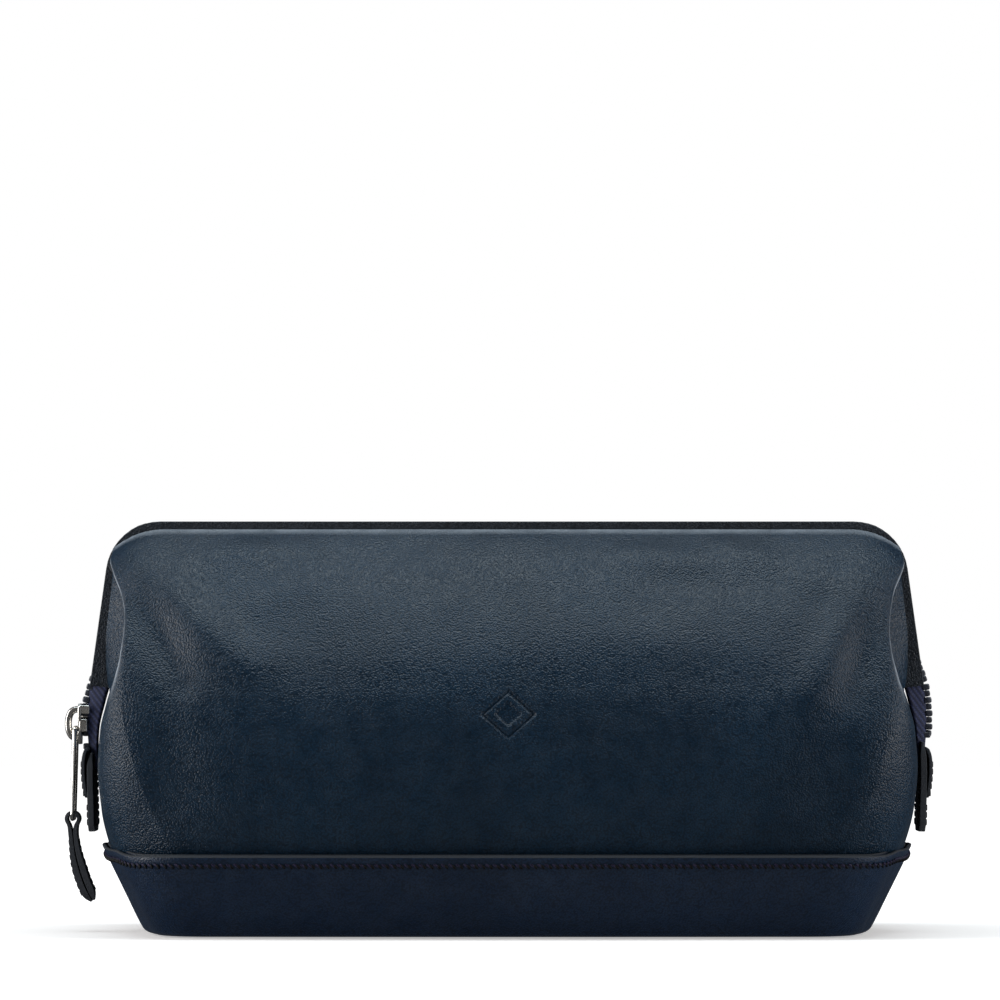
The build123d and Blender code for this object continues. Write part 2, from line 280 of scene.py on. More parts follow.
def block(size, centre, turn=None):
    """Points and faces of a box; turn is a 3x3 rotation."""
    half = np.array(size, float) / 2
    corners = np.array([(x, y, z) for x in (-1, 1) for y in (-1, 1) for z in (-1, 1)]) * half
    if turn is not None:
        corners = corners @ np.array(turn).T
    faces = [(0, 1, 3, 2), (4, 6, 7, 5), (0, 4, 5, 1), (2, 3, 7, 6), (0, 2, 6, 4), (1, 5, 7, 3)]
    return corners + np.array(centre, float), faces


# ---------------------------------------------------------------- materials
class Nodes:
    """A few short calls for building a node material."""

    def __init__(self, name):
        self.material = bpy.data.materials.new(name)
        self.material.use_nodes = True
        self.tree = self.material.node_tree
        self.tree.nodes.clear()
        self.out = self.add("ShaderNodeOutputMaterial")
        self.shader = self.add("ShaderNodeBsdfPrincipled")
        self.link(self.shader.outputs[0], self.out.inputs[0])

    def add(self, kind, **values):
        node = self.tree.nodes.new(kind)
        for key, value in values.items():
            if hasattr(node, key):
                setattr(node, key, value)
            else:
                node.inputs[key.replace("_", " ")].default_value = value
        return node

    def link(self, a, b):
        self.tree.links.new(a, b)

    def set(self, **values):
        for key, value in values.items():
            self.shader.inputs[key.replace("_", " ")].default_value = value

    def place(self, own):
        """Texture place: the stored rest position on pieces made here, object coordinates on CAD nodes."""
        if own:
            return self.add("ShaderNodeAttribute", attribute_name="rest").outputs["Vector"]
        return self.add("ShaderNodeTexCoord").outputs["Object"]

    def noise(self, place, scale, detail=3.0, roughness=0.5):
        node = self.add("ShaderNodeTexNoise")
        node.inputs["Scale"].default_value = scale
        node.inputs["Detail"].default_value = detail
        node.inputs["Roughness"].default_value = roughness
        self.link(place, node.inputs["Vector"])
        return node.outputs["Fac"]

    def span(self, value, low, high, to_low, to_high):
        node = self.add("ShaderNodeMapRange")
        node.inputs["From Min"].default_value = low
        node.inputs["From Max"].default_value = high
        node.inputs["To Min"].default_value = to_low
        node.inputs["To Max"].default_value = to_high
        self.link(value, node.inputs["Value"])
        return node.outputs["Result"]

    def maths(self, operation, a, b):
        node = self.add("ShaderNodeMath", operation=operation)
        for socket, value in zip(node.inputs, (a, b)):
            if isinstance(value, (int, float)):
                socket.default_value = value
            else:
                self.link(value, socket)
        return node.outputs[0]

    def mix(self, fac, a, b):
        node = self.add("ShaderNodeMix", data_type="RGBA")
        sockets = (node.inputs[0], node.inputs[6], node.inputs[7])
        for socket, value in zip(sockets, (fac, a, b)):
            if isinstance(value, (int, float)):
                socket.default_value = value
            elif isinstance(value, tuple):
                socket.default_value = (*value, 1.0)
            else:
                self.link(value, socket)
        return node.outputs[2]

    def bump(self, height, distance_mm, strength=1.0, under=None):
        node = self.add("ShaderNodeBump")
        node.inputs["Strength"].default_value = strength
        node.inputs["Distance"].default_value = distance_mm * MM
        self.link(height, node.inputs["Height"])
        if under is not None:
            self.link(under, node.inputs["Normal"])
        return node.outputs["Normal"]


def leather(name, base, light, highlight_paint, roughness, grain_mm, grain_depth, own=True, sheen=0.03, specular=0.33):
    """Dyed leather: pebbled grain with painted shade in its valleys, cloudy dye, and a pale, patchy painted highlight
    where a piece stores one.
    """
    n = Nodes(name)
    place = n.place(own)
    wobble = n.add("ShaderNodeVectorMath", operation="ADD")
    drift = n.add("ShaderNodeVectorMath", operation="SCALE")
    swirl = n.add("ShaderNodeTexNoise")
    swirl.inputs["Scale"].default_value = 350.0
    n.link(place, swirl.inputs["Vector"])
    n.link(swirl.outputs["Color"], drift.inputs[0])
    drift.inputs["Scale"].default_value = 0.0002
    n.link(place, wobble.inputs[0])
    n.link(drift.outputs[0], wobble.inputs[1])
    cells = n.add("ShaderNodeTexVoronoi", feature="SMOOTH_F1")
    cells.inputs["Scale"].default_value = 1000.0 / grain_mm
    cells.inputs["Smoothness"].default_value = 0.35
    n.link(wobble.outputs[0], cells.inputs["Vector"])
    pebble = cells.outputs["Distance"]
    fine = n.noise(place, 2600.0, 2.0)
    cloud = n.noise(place, 22.0, 4.0, 0.6)
    patch = n.noise(place, 160.0, 3.0, 0.6)
    tone = n.maths("ADD", n.maths("MULTIPLY", cloud, 0.65), n.maths("MULTIPLY", patch, 0.35))
    colour = n.mix(n.span(tone, 0.36, 0.66, 0.0, 1.0), base, light)
    # Painted shade: the grain's valleys are darkened towards a third of the base colour.
    valley_shade = n.span(pebble, 0.30, 0.70, 0.0, 0.7)
    colour = n.mix(valley_shade, colour, tuple(c * 0.35 for c in base))
    # Painted highlight: a pale, patchy colour laid where the piece stores a highlight strength.
    if own:
        painted_highlight = n.add("ShaderNodeAttribute", attribute_name="painted_highlight").outputs["Fac"]
        patchy_highlight = n.maths("MULTIPLY", painted_highlight, n.span(patch, 0.3, 0.6, 0.55, 1.0))
        colour = n.mix(patchy_highlight, colour, highlight_paint)
    n.link(colour, n.shader.inputs["Base Color"])
    n.link(n.span(patch, 0.3, 0.7, roughness - 0.06, roughness + 0.08), n.shader.inputs["Roughness"])
    height = n.maths("ADD", n.maths("MULTIPLY", pebble, -1.0), n.maths("MULTIPLY", fine, 0.35))
    soft = n.bump(patch, 0.06, 0.3)
    n.link(n.bump(height, grain_depth, 1.0, soft), n.shader.inputs["Normal"])
    n.set(Specular_IOR_Level=specular, Sheen_Weight=sheen, Sheen_Roughness=0.5, Sheen_Tint=(0.75, 0.85, 1.0, 1.0))
    return n.material


def cut_edge(name, colour, own=True):
    """Cut leather edge: pale, fibrous and matt."""
    n = Nodes(name)
    place = n.place(own)
    fibre = n.noise(place, 1800.0, 4.0, 0.7)
    n.link(n.mix(n.span(fibre, 0.3, 0.7, 0, 1), tuple(c * 0.62 for c in colour), colour), n.shader.inputs["Base Color"])
    n.link(n.bump(fibre, 0.12), n.shader.inputs["Normal"])
    n.set(Roughness=0.7, Specular_IOR_Level=0.3)
    return n.material


def woven(name, thread, shade, pitch_mm, lean, own=True, roughness=0.75, sheen=0.12):
    """Woven cloth or tape: diagonal ribs crossed by finer threads."""
    n = Nodes(name)
    place = n.place(own)
    turned = n.add("ShaderNodeMapping")
    turned.inputs["Rotation"].default_value = lean
    n.link(place, turned.inputs["Vector"])
    ribs = n.add("ShaderNodeTexWave", wave_type="BANDS", bands_direction="X")
    ribs.inputs["Scale"].default_value = 1000.0 / pitch_mm / 20.0 * pi
    ribs.inputs["Distortion"].default_value = 0.6
    ribs.inputs["Detail"].default_value = 2.0
    n.link(turned.outputs[0], ribs.inputs["Vector"])
    cross = n.add("ShaderNodeTexWave", wave_type="BANDS", bands_direction="Z")
    cross.inputs["Scale"].default_value = 1600.0 / pitch_mm / 20.0 * pi
    cross.inputs["Distortion"].default_value = 1.0
    n.link(turned.outputs[0], cross.inputs["Vector"])
    weave = n.maths("MULTIPLY", ribs.outputs["Fac"], n.span(cross.outputs["Fac"], 0, 1, 0.6, 1.0))
    fuzz = n.noise(place, 1500.0, 3.0, 0.7)
    tone = n.maths("MULTIPLY", weave, n.span(fuzz, 0.3, 0.7, 0.7, 1.1))
    n.link(n.mix(tone, shade, thread), n.shader.inputs["Base Color"])
    n.link(n.bump(weave, 0.18, 0.9), n.shader.inputs["Normal"])
    n.set(Roughness=roughness, Specular_IOR_Level=0.3, Sheen_Weight=sheen, Sheen_Roughness=0.4)
    return n.material


def metal(name, colour, roughness, own=True, scratch=0.03):
    n = Nodes(name)
    place = n.place(own)
    smear = n.noise(place, 420.0, 4.0, 0.6)
    tint = n.mix(n.span(smear, 0.35, 0.7, 0, 1), colour, tuple(c * 0.86 for c in colour))
    n.link(tint, n.shader.inputs["Base Color"])
    n.link(n.span(smear, 0.3, 0.7, roughness * 0.7, roughness * 1.5), n.shader.inputs["Roughness"])
    n.link(n.bump(n.noise(place, 2200.0, 3.0), scratch, 0.4), n.shader.inputs["Normal"])
    n.set(Metallic=1.0)
    return n.material


def moulded(name, colour, light, roughness, own=True):
    n = Nodes(name)
    place = n.place(own)
    speck = n.noise(place, 700.0, 4.0, 0.6)
    n.link(n.mix(n.span(speck, 0.35, 0.7, 0, 1), colour, light), n.shader.inputs["Base Color"])
    n.link(n.span(speck, 0.3, 0.7, roughness - 0.05, roughness + 0.1), n.shader.inputs["Roughness"])
    n.link(n.bump(speck, 0.06, 0.5), n.shader.inputs["Normal"])
    n.set(Specular_IOR_Level=0.5)
    return n.material


NAVY = (0.0009, 0.0118, 0.0280)
NAVY_LIGHT = (0.0030, 0.0208, 0.0455)
# Pale colour of the painted highlight along the panels' creases and rolled top edge.
PAINTED_HIGHLIGHT_COLOUR = (0.3200, 0.3500, 0.3900)
body_leather = leather("body_leather", NAVY, NAVY_LIGHT, PAINTED_HIGHLIGHT_COLOUR, 0.36, 0.62, 0.24, sheen=0.01)
band_leather = leather("band_leather", (0.0013, 0.0104, 0.0310), (0.0042, 0.0180, 0.0470), PAINTED_HIGHLIGHT_COLOUR, 0.42, 0.62, 0.18,
                       sheen=0.01)
sleeve_leather = leather("sleeve_leather", (0.0100, 0.0145, 0.0215), (0.0240, 0.0310, 0.0430), PAINTED_HIGHLIGHT_COLOUR, 0.5, 0.6, 0.3)
tab_leather = leather("tab_leather", (0.0014, 0.0015, 0.0018), (0.0044, 0.0047, 0.0054), (0.10, 0.11, 0.12), 0.44, 0.7,
                      0.14, sheen=0.0, specular=0.18)
pale_edge = cut_edge("pale_cut_edge", (0.19, 0.21, 0.23))
dark_edge = cut_edge("dark_cut_edge", (0.030, 0.034, 0.042))
tape_cloth = woven("zip_tape_cloth", (0.020, 0.028, 0.080), (0.007, 0.009, 0.028), 0.75, (0.0, 0.65, 0.0))
lining_cloth = woven("lining_cloth", (0.095, 0.104, 0.124), (0.058, 0.064, 0.078), 0.7, (0.3, 0.2, 0.5))
thread_navy = woven("thread_navy", (0.022, 0.018, 0.060), (0.006, 0.005, 0.020), 0.35, (0.0, 0.6, 0.5), roughness=0.6, sheen=0.0)
# Near-black: painted shade inside the needle holes of the band stitching.
painted_hole_shade = cut_edge("painted_hole_shade", (0.0012, 0.0012, 0.0020))
thread_black = woven("thread_black", (0.020, 0.020, 0.024), (0.004, 0.004, 0.005), 0.35, (0.0, 0.6, 0.5), roughness=0.6, sheen=0.0)
nickel = metal("polished_nickel", (0.93, 0.90, 0.85), 0.16)
tooth_plastic = moulded("tooth_plastic", (0.016, 0.018, 0.026), (0.045, 0.050, 0.066), 0.30)


# ---------------------------------------------------------------- the bag's skin, worked out as one surface
# Heights are nominal: from 100 mm up they are squeezed towards the shoulders, so that the panel's rounded
# top edge is the last row of the grid.
centre_depth = smooth_table((18, 53.5), (30, 59.6), (44, 61.4), (57, 61.0), (70, 59.3), (80, 56.8), (88, 53.6),
                            (95, 50.4), (102.5, 46.4), (111, 41.2), (119.6, 34.8), (129.4, 25.6), (135, 18.0),
                            (138.2, 12.6), (139.7, 9.7))
crease_x = smooth_table((18, 124.0), (30, 131.5), (44, 136.4), (57, 138.4), (70, 138.0), (80, 135.8), (88, 133.4),
                        (95, 132.0), (102.5, 131.5), (111, 131.7), (119.6, 132.8), (129.4, 136.0), (135, 137.4),
                        (139.7, 137.3))
crease_depth = smooth_table((18, 46.0), (30, 50.0), (44, 50.8), (57, 50.6), (70, 49.4), (80, 48.0), (88, 46.4),
                            (95, 44.0), (102.5, 40.6), (111, 35.6), (119.6, 29.4), (129.4, 21.2), (135, 15.6),
                            (139.7, 9.9))
tuck_x = smooth_table((18, 129.6), (30, 136.4), (44, 140.2), (57, 141.4), (70, 140.0), (80, 135.2), (88, 129.6),
                      (95, 125.6), (102.5, 123.6), (111, 123.6), (119.6, 125.8), (129.4, 131.0), (135, 134.8),
                      (139.7, 137.0))
tuck_depth = smooth_table((18, 27.0), (30, 29.0), (44, 29.0), (57, 28.0), (70, 26.5), (80, 26.0), (88, 26.0),
                          (95, 26.0), (102.5, 25.0), (111, 22.6), (119.6, 19.2), (129.4, 14.6), (135, 12.0),
                          (139.7, 9.7))
end_x = smooth_table((18, 132.5), (30, 138.7), (44, 141.7), (57, 142.1), (70, 141.0), (76, 139.6), (80, 138.6),
                     (84, 138.2), (88, 138.9), (95, 139.4), (102.5, 139.4), (111, 138.8), (119.6, 138.0),
                     (129.4, 137.2), (139.7, 137.0))
end_depth = smooth_table((18, 0.2), (70, 0.2), (76, 0.6), (80, 2.6), (84, 7.0), (87, 9.3), (139.7, 9.4))
crease_cut = smooth_table((18, 16.0), (30, 17.0), (44, 15.0), (57, 12.0), (70, 8.5), (80, 5.0), (88, 2.8), (95, 1.8),
                          (102.5, 1.3), (139.7, 1.0))
tuck_cut = smooth_table((18, 14.0), (57, 13.0), (70, 11.0), (80, 7.5), (88, 5.0), (95, 3.6), (111, 2.6), (129.4, 1.6),
                        (139.7, 0.2))
MARK_X, MARK_Z = 0.4, 76.0       # centre of the blind-embossed lozenge
MARK_HALF_X, MARK_HALF_Z = 9.4, 8.4


def top_edge(x):
    """Height of the panel's rolled top edge at x: level, then rounded down to the shoulders."""
    past = np.clip((np.abs(x) - 119.0) / 18.9, 0, 1)
    return PANEL_TOP - (PANEL_TOP - SHOULDER_TOP) * past**2.2


def squeezed(h, top):
    return np.where(h < 100, h, 100 + (h - 100) * (top - 100) / (PANEL_TOP - 100))


def bezier(a, b, c, count):
    """Points after a up to c on a quadratic curve with control point b; arrays are (rows, 2)."""
    out = []
    for i in range(1, count + 1):
        t = i / count
        out.append((1 - t) ** 2 * a + 2 * t * (1 - t) * b + t * t * c)
    return out


def skin_quarter():
    """Front right quarter of the skin: rows by height, columns from the middle of the front to the end's middle."""
    fine = np.arange(66.0, 86.01, 0.55)
    heights = np.concatenate([np.arange(18.0, 66.0, 2.0), fine, np.arange(87.0, 139.0, 1.3), [139.2, PANEL_TOP]])
    h = heights
    crease = np.stack([crease_x(h), -crease_depth(h)], axis=1)
    tuck = np.stack([tuck_x(h), -tuck_depth(h)], axis=1)
    end = np.stack([end_x(h), -end_depth(h)], axis=1)
    to_tuck = tuck - crease
    flap = np.linalg.norm(to_tuck, axis=1)[:, None]
    to_end = end - tuck
    inner = np.linalg.norm(to_end, axis=1)[:, None]
    cut = crease_cut(h)[:, None]
    cut_flap = np.minimum(cut, 0.45 * flap)
    tuck_in = np.minimum(tuck_cut(h)[:, None], 0.45 * flap)
    tuck_out = np.minimum(tuck_cut(h)[:, None], 0.45 * inner)

    fractions = np.concatenate([np.arange(0, 11.5, 0.55) / 136, np.arange(13.5, 136, 2.6) / 136])
    reach = (crease_x(h) - crease_cut(h)) / crease_x(h)
    columns, tops = [], []
    for f in fractions:
        a = f * reach
        share = np.clip(a, 0, 1) ** 8
        x = a * crease_x(h)
        y = -(centre_depth(h) * (1 - share) + crease_depth(h) * share)
        columns.append(np.stack([x, y], axis=1))
        tops.append(top_edge(x))
    share = reach**8
    start = np.stack([reach * crease_x(h), -(centre_depth(h) * (1 - share) + crease_depth(h) * share)], axis=1)
    columns.append(start)
    tops.append(top_edge(start[:, 0]))
    lead = top_edge(start[:, 0])
    turned = bezier(start, crease, crease + to_tuck / flap * cut_flap, 9)
    for i, column in enumerate(turned):
        columns.append(column)
        tops.append(lead + (SHOULDER_TOP - lead) * (i + 1) / len(turned))
    crease_col = len(columns) - 1 - len(turned) // 2
    a = crease + to_tuck / flap * cut_flap
    b = tuck - to_tuck / flap * tuck_in
    columns += [a + (b - a) * i / 7 for i in range(1, 8)]
    bend = bezier(b, tuck, tuck + to_end / inner * tuck_out, 8)
    tuck_col = len(columns) + 3
    columns += bend
    a = bend[-1]
    columns += [a + (end - a) * i / 9 for i in range(1, 10)]
    while len(tops) < len(columns):
        tops.append(np.full(len(h), SHOULDER_TOP))
    points = np.zeros((len(h), len(columns), 3))
    for c, (column, top) in enumerate(zip(columns, tops)):
        points[:, c, 0] = column[:, 0]
        points[:, c, 1] = column[:, 1]
        points[:, c, 2] = squeezed(h, top)
    return points, crease_col, tuck_col, h


def surface_normals(points):
    down = np.gradient(points, axis=0)
    across = np.gradient(points, axis=1)
    normals = np.cross(across, down)
    length = np.linalg.norm(normals, axis=2)[..., None]
    return normals / np.maximum(length, 1e-9)


def soft_noise(points, size, seed):
    """Smooth noise from -1 to 1 at each point, with features about `size` mm across."""
    flat = points.reshape(-1, 3)
    values = [noise.noise(Vector((p[0] / size + seed, p[1] / size, p[2] / size))) for p in flat]
    return np.array(values).reshape(points.shape[:2])


def mark_depth(points):
    """Depth of the blind-embossed mark: two nested lozenges pressed into the front."""
    x = (points[..., 0] - MARK_X) / MARK_HALF_X
    z = (points[..., 2] - MARK_Z) / MARK_HALF_Z
    ring = np.abs(x) + np.abs(z)
    outer = np.exp(-((ring - 0.92) / 0.075) ** 2)
    inner = smoothstep(-ring, -0.56, -0.44)
    front = points[..., 1] < -30
    return (0.8 * outer + 0.6 * inner) * front


def build_skin():
    """Front half of the skin from left end to right end, with soft folds and sag pressed in."""
    right, crease_col, tuck_col, h = skin_quarter()
    left = right[:, ::-1].copy()
    left[..., 0] *= -1
    points = np.concatenate([left, right[:, 1:]], axis=1)
    cols = right.shape[1]
    info = {
        "rows": len(h),
        "left_tuck": cols - 1 - tuck_col,
        "right_tuck": cols - 1 + tuck_col,
        "left_crease": cols - 1 - crease_col,
        "right_crease": cols - 1 + crease_col,
    }
    return points, info, h


# Soft folds of the panels: end points (x, z), half-width and height. Leather drapes from the pinched shoulders.
FOLDS = [
    ((-131, 128), (-88, 92), 9.0, 1.6), ((-124, 118), (-112, 88), 7.0, -1.7), ((-133, 92), (-126, 52), 10.0, 0.9),
    ((-118, 74), (-112, 40), 12.0, -0.8), ((131, 126), (104, 84), 8.0, 1.5), ((123, 114), (118, 84), 6.5, -1.5),
    ((133, 88), (124, 48), 11.0, 0.9), ((112, 70), (104, 40), 12.0, -0.7), ((40, 131), (66, 128), 4.5, 0.55),
    ((72, 133), (98, 129), 4.0, 0.6), ((50, 122), (92, 120), 5.0, -0.45), ((-60, 130), (-20, 132), 5.5, -0.4),
    ((-100, 131), (-70, 133), 4.5, 0.45), ((100, 124), (122, 117), 4.5, 0.5), ((-40, 96), (40, 92), 14.0, 0.5),
    ((20, 104), (84, 98), 9.0, 0.45), ((-92, 110), (-56, 104), 9.0, -0.4),
]


def folds(points, mirror):
    """Height of the soft folds at each point; the back carries them mirrored."""
    x = points[..., 0] * mirror
    z = points[..., 2]
    lift = np.zeros_like(x)
    for (ax, az), (bx, bz), width, height in FOLDS:
        run = np.array([bx - ax, bz - az])
        length = np.linalg.norm(run)
        t = np.clip(((x - ax) * run[0] + (z - az) * run[1]) / length**2, 0, 1)
        gap = np.hypot(x - ax - t * run[0], z - az - t * run[1])
        swell = 0.55 + 0.45 * np.sin(pi * t)
        lift += height * swell * np.exp(-((gap / width) ** 2))
    return lift * (np.abs(points[..., 1]) > 9.5)


def sagged(points, h, seed):
    """Moves the skin gently in and out, as soft leather lies, leaving its edges where they are."""
    normals = surface_normals(points)
    rise = h[:, None]
    hold = smoothstep(rise, 20, 40) * (1 - smoothstep(rise, 132, 139.5))
    at_end = np.ones_like(points[..., 0])
    end_cols = 10
    ramp = np.linspace(0, 1, end_cols)
    at_end[:, :end_cols] *= ramp
    at_end[:, -end_cols:] *= ramp[::-1]
    broad = soft_noise(points, 70.0, seed) * 0.9
    middle = soft_noise(points * np.array([1.0, 1.0, 0.6]), 26.0, seed + 7) * 0.28
    near_top = smoothstep(rise, 96, 122)
    creases = soft_noise(points * np.array([1.6, 1.0, 0.7]), 15.0, seed + 13) * 0.5 * near_top
    lift = (broad + middle + creases) * hold * at_end
    lift += 1.7 * folds(points, 1 if seed < 10 else -0.93) * smoothstep(rise, 30, 44) * (1 - smoothstep(rise, 134, 139.5))
    moved = points + normals * lift[..., None]
    return moved


def shell_piece(name, points, normals, cols, materials, thickness, painted_highlight=None, lap=0,
                inset=0.0, lap_drop=1.5):
    """A sheet of leather with thickness, cut from the skin between two columns.

    lap adds columns past each cut, tucked under the neighbouring piece.
    """
    first, last = cols
    low = max(0, first - lap if first else 0)
    high = min(points.shape[1] - 1, last + lap if last < points.shape[1] - 1 else last)
    part = points[:, low:high + 1].copy()
    normal = normals[:, low:high + 1]
    drop = np.zeros(high - low + 1)
    for c in range(low, high + 1):
        beyond = max(first - c, c - last, 0)
        drop[c - low] = min(beyond, 1) * lap_drop
    part -= normal * (drop[None, :, None] + inset)
    rows, count = part.shape[:2]
    outer = part.reshape(-1, 3)
    inner = (part - normal * thickness).reshape(-1, 3)
    total = rows * count
    faces = grid_faces(rows, count)
    kinds = [0] * len(faces)
    back = grid_faces(rows, count, start=total, flip=True)
    faces += back
    kinds += [1] * len(back)
    border = []
    border += [(c + 1, c, c + total, c + 1 + total) for c in range(count - 1)]
    top = (rows - 1) * count
    border += [(top + c, top + c + 1, top + c + 1 + total, top + c + total) for c in range(count - 1)]
    border += [(r * count, (r + 1) * count, (r + 1) * count + total, r * count + total) for r in range(rows - 1)]
    end = count - 1
    border += [((r + 1) * count + end, r * count + end, r * count + end + total, (r + 1) * count + end + total)
               for r in range(rows - 1)]
    faces += border
    kinds += [2] * len(border)
    highlight_paint = None
    if painted_highlight is not None:
        own = painted_highlight[:, low:high + 1].ravel()
        highlight_paint = np.concatenate([own, own * 0])
    obj = add_mesh(name, np.concatenate([outer, inner]), faces, materials, face_materials=kinds, painted_highlight=highlight_paint)
    mesh = obj.data
    vertex_normals = np.concatenate([normal.reshape(-1, 3), -normal.reshape(-1, 3)])
    loops = np.empty((len(mesh.loops), 3))
    for polygon in mesh.polygons:
        for li in polygon.loop_indices:
            vi = mesh.loops[li].vertex_index
            loops[li] = polygon.normal if polygon.material_index == 2 else vertex_normals[vi]
    mesh.normals_split_custom_set(loops.tolist())
    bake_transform(obj)
    return obj


def make_skin():
    points, info, h = build_skin()
    for side, frame_body, seed in (("front", "front_frame", 3.1), ("back", "back_frame", 41.7)):
        own = sagged(points, h, seed)
        normals = surface_normals(own)
        near_middle = h < 74
        for edge in (0, -1):
            normals[near_middle, edge, 1] = 0
        normals /= np.linalg.norm(normals, axis=2)[..., None]
        if side == "front":
            own = own - normals * mark_depth(own)[..., None]
            pressed = surface_normals(own)
            in_mark = (np.abs(own[..., 0]) < 12) & (np.abs(own[..., 2] - MARK_Z) < 11)
            normals[in_mark] = pressed[in_mark]
        column = np.arange(points.shape[1])[None, :]
        crease = np.exp(-(((column - info["left_crease"]) / 1.1) ** 2))
        crease = crease + np.exp(-(((column - info["right_crease"]) / 1.1) ** 2))
        rise = h[:, None]
        # Painted highlight: a pale line along each crease from about 76 mm up, and along the rolled top edge.
        painted_highlight = crease * smoothstep(rise, 76, 92) * 0.85
        painted_highlight = np.maximum(painted_highlight, smoothstep(rise, 138.2, 139.5) * 0.55)
        if side == "back":
            own = own[:, ::-1] * np.array([1, -1, 1])
            normals = normals[:, ::-1] * np.array([1, -1, 1])
            painted_highlight = painted_highlight[:, ::-1]
        own_info = info
        panel_cols = (own_info["left_tuck"], own_info["right_tuck"])
        shell = shell_piece(f"{side}_panel", own, normals, panel_cols,
                            [body_leather, dark_edge, pale_edge], LEATHER, painted_highlight, lap=3)
        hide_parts(f"{side}_panel_lower", f"{side}_panel_upper")
        lining_cols = (own_info["left_crease"] + 4, own_info["right_crease"] - 4)
        lining = shell_piece(f"{side}_lining", own[:-2], normals[:-2], lining_cols,
                             [lining_cloth, lining_cloth, lining_cloth], 0.5, inset=LEATHER + 0.25)
        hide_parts(f"{side}_lining_upper", "lining_walls")
        ends = [("left", (0, own_info["left_tuck"])), ("right", (own_info["right_tuck"], points.shape[1] - 1))]
        if side == "back":
            ends = [("right", ends[0][1]), ("left", ends[1][1])]
        for end, cols in ends:
            flap = shell_piece(f"{side}_flap_{end}", own, normals, cols,
                               [body_leather, lining_cloth, dark_edge], LEATHER, painted_highlight * 0)
            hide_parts(f"{side}_gusset_{end}", f"{end}_gusset_lower")


make_skin()


# ---------------------------------------------------------------- bottom band
band_levels = {
    "corner": smooth_table((0, 119.0), (2.5, 120.2), (30, 130.4)),
    "apex": smooth_table((0, 126.0), (8, 130.4), (16, 134.6), (24, 138.6), (30, 141.2)),
    "depth": smooth_table((0, 49.0), (2.5, 50.6), (14, 57.0), (30, 62.2)),
    "radius": smooth_table((0, 17.0), (30, 24.0)),
}


def band_outline(z, inset, count_front=60, count_corner=12, count_end=12):
    """One closed ring of the band at height z, drawn from the middle of the back, counter-clockwise from above."""
    corner = float(band_levels["corner"](z)) - inset
    apex = float(band_levels["apex"](z)) - inset
    depth = float(band_levels["depth"](z)) - inset
    radius = max(2.0, float(band_levels["radius"](z)) - inset * 0.5)
    bow = 1.6
    quarter = [(x, -(depth + bow * (1 - (x / corner) ** 2))) for x in np.linspace(0, corner - radius, count_front)]
    start = np.array(quarter[-1])
    knee = np.array([corner, -depth])
    lean = np.array([apex, 0.0]) - knee
    lean /= np.linalg.norm(lean)
    after = knee + lean * radius
    for i in range(1, count_corner + 1):
        t = i / count_corner
        quarter.append(tuple((1 - t) ** 2 * start + 2 * t * (1 - t) * knee + t * t * after))
    # The end swells to its middle, which is softly pointed.
    for i in range(1, count_end + 1):
        t = i / count_end
        p = after + (np.array([apex, 0.0]) - after) * t
        p = p + np.array([1.5 * 4 * t * (1 - t) * (1 - 0.3 * t), 0.0])
        quarter.append(tuple(p))
    quarter = np.array(quarter)
    right = quarter
    left = quarter[::-1][1:] * np.array([-1, 1])
    front = np.concatenate([right, (quarter[::-1] * np.array([1, -1]))[1:]])
    back = np.concatenate([(quarter * np.array([-1, -1]))[1:], left[:-1] if len(left) else left])
    return np.concatenate([front, back])


def band_edge_z(x, y, drop):
    """Height of the band's top edge: high at the end tips, dipping to the corners, level along the sides."""
    tip = np.exp(-((np.abs(y) / 17.0) ** 2)) * smoothstep(np.abs(x), 118, 132)
    side = smoothstep(np.abs(y), 40, 56)
    return BAND_TOP - drop - 2.6 * side - 1.2 * (1 - side) * (1 - tip)


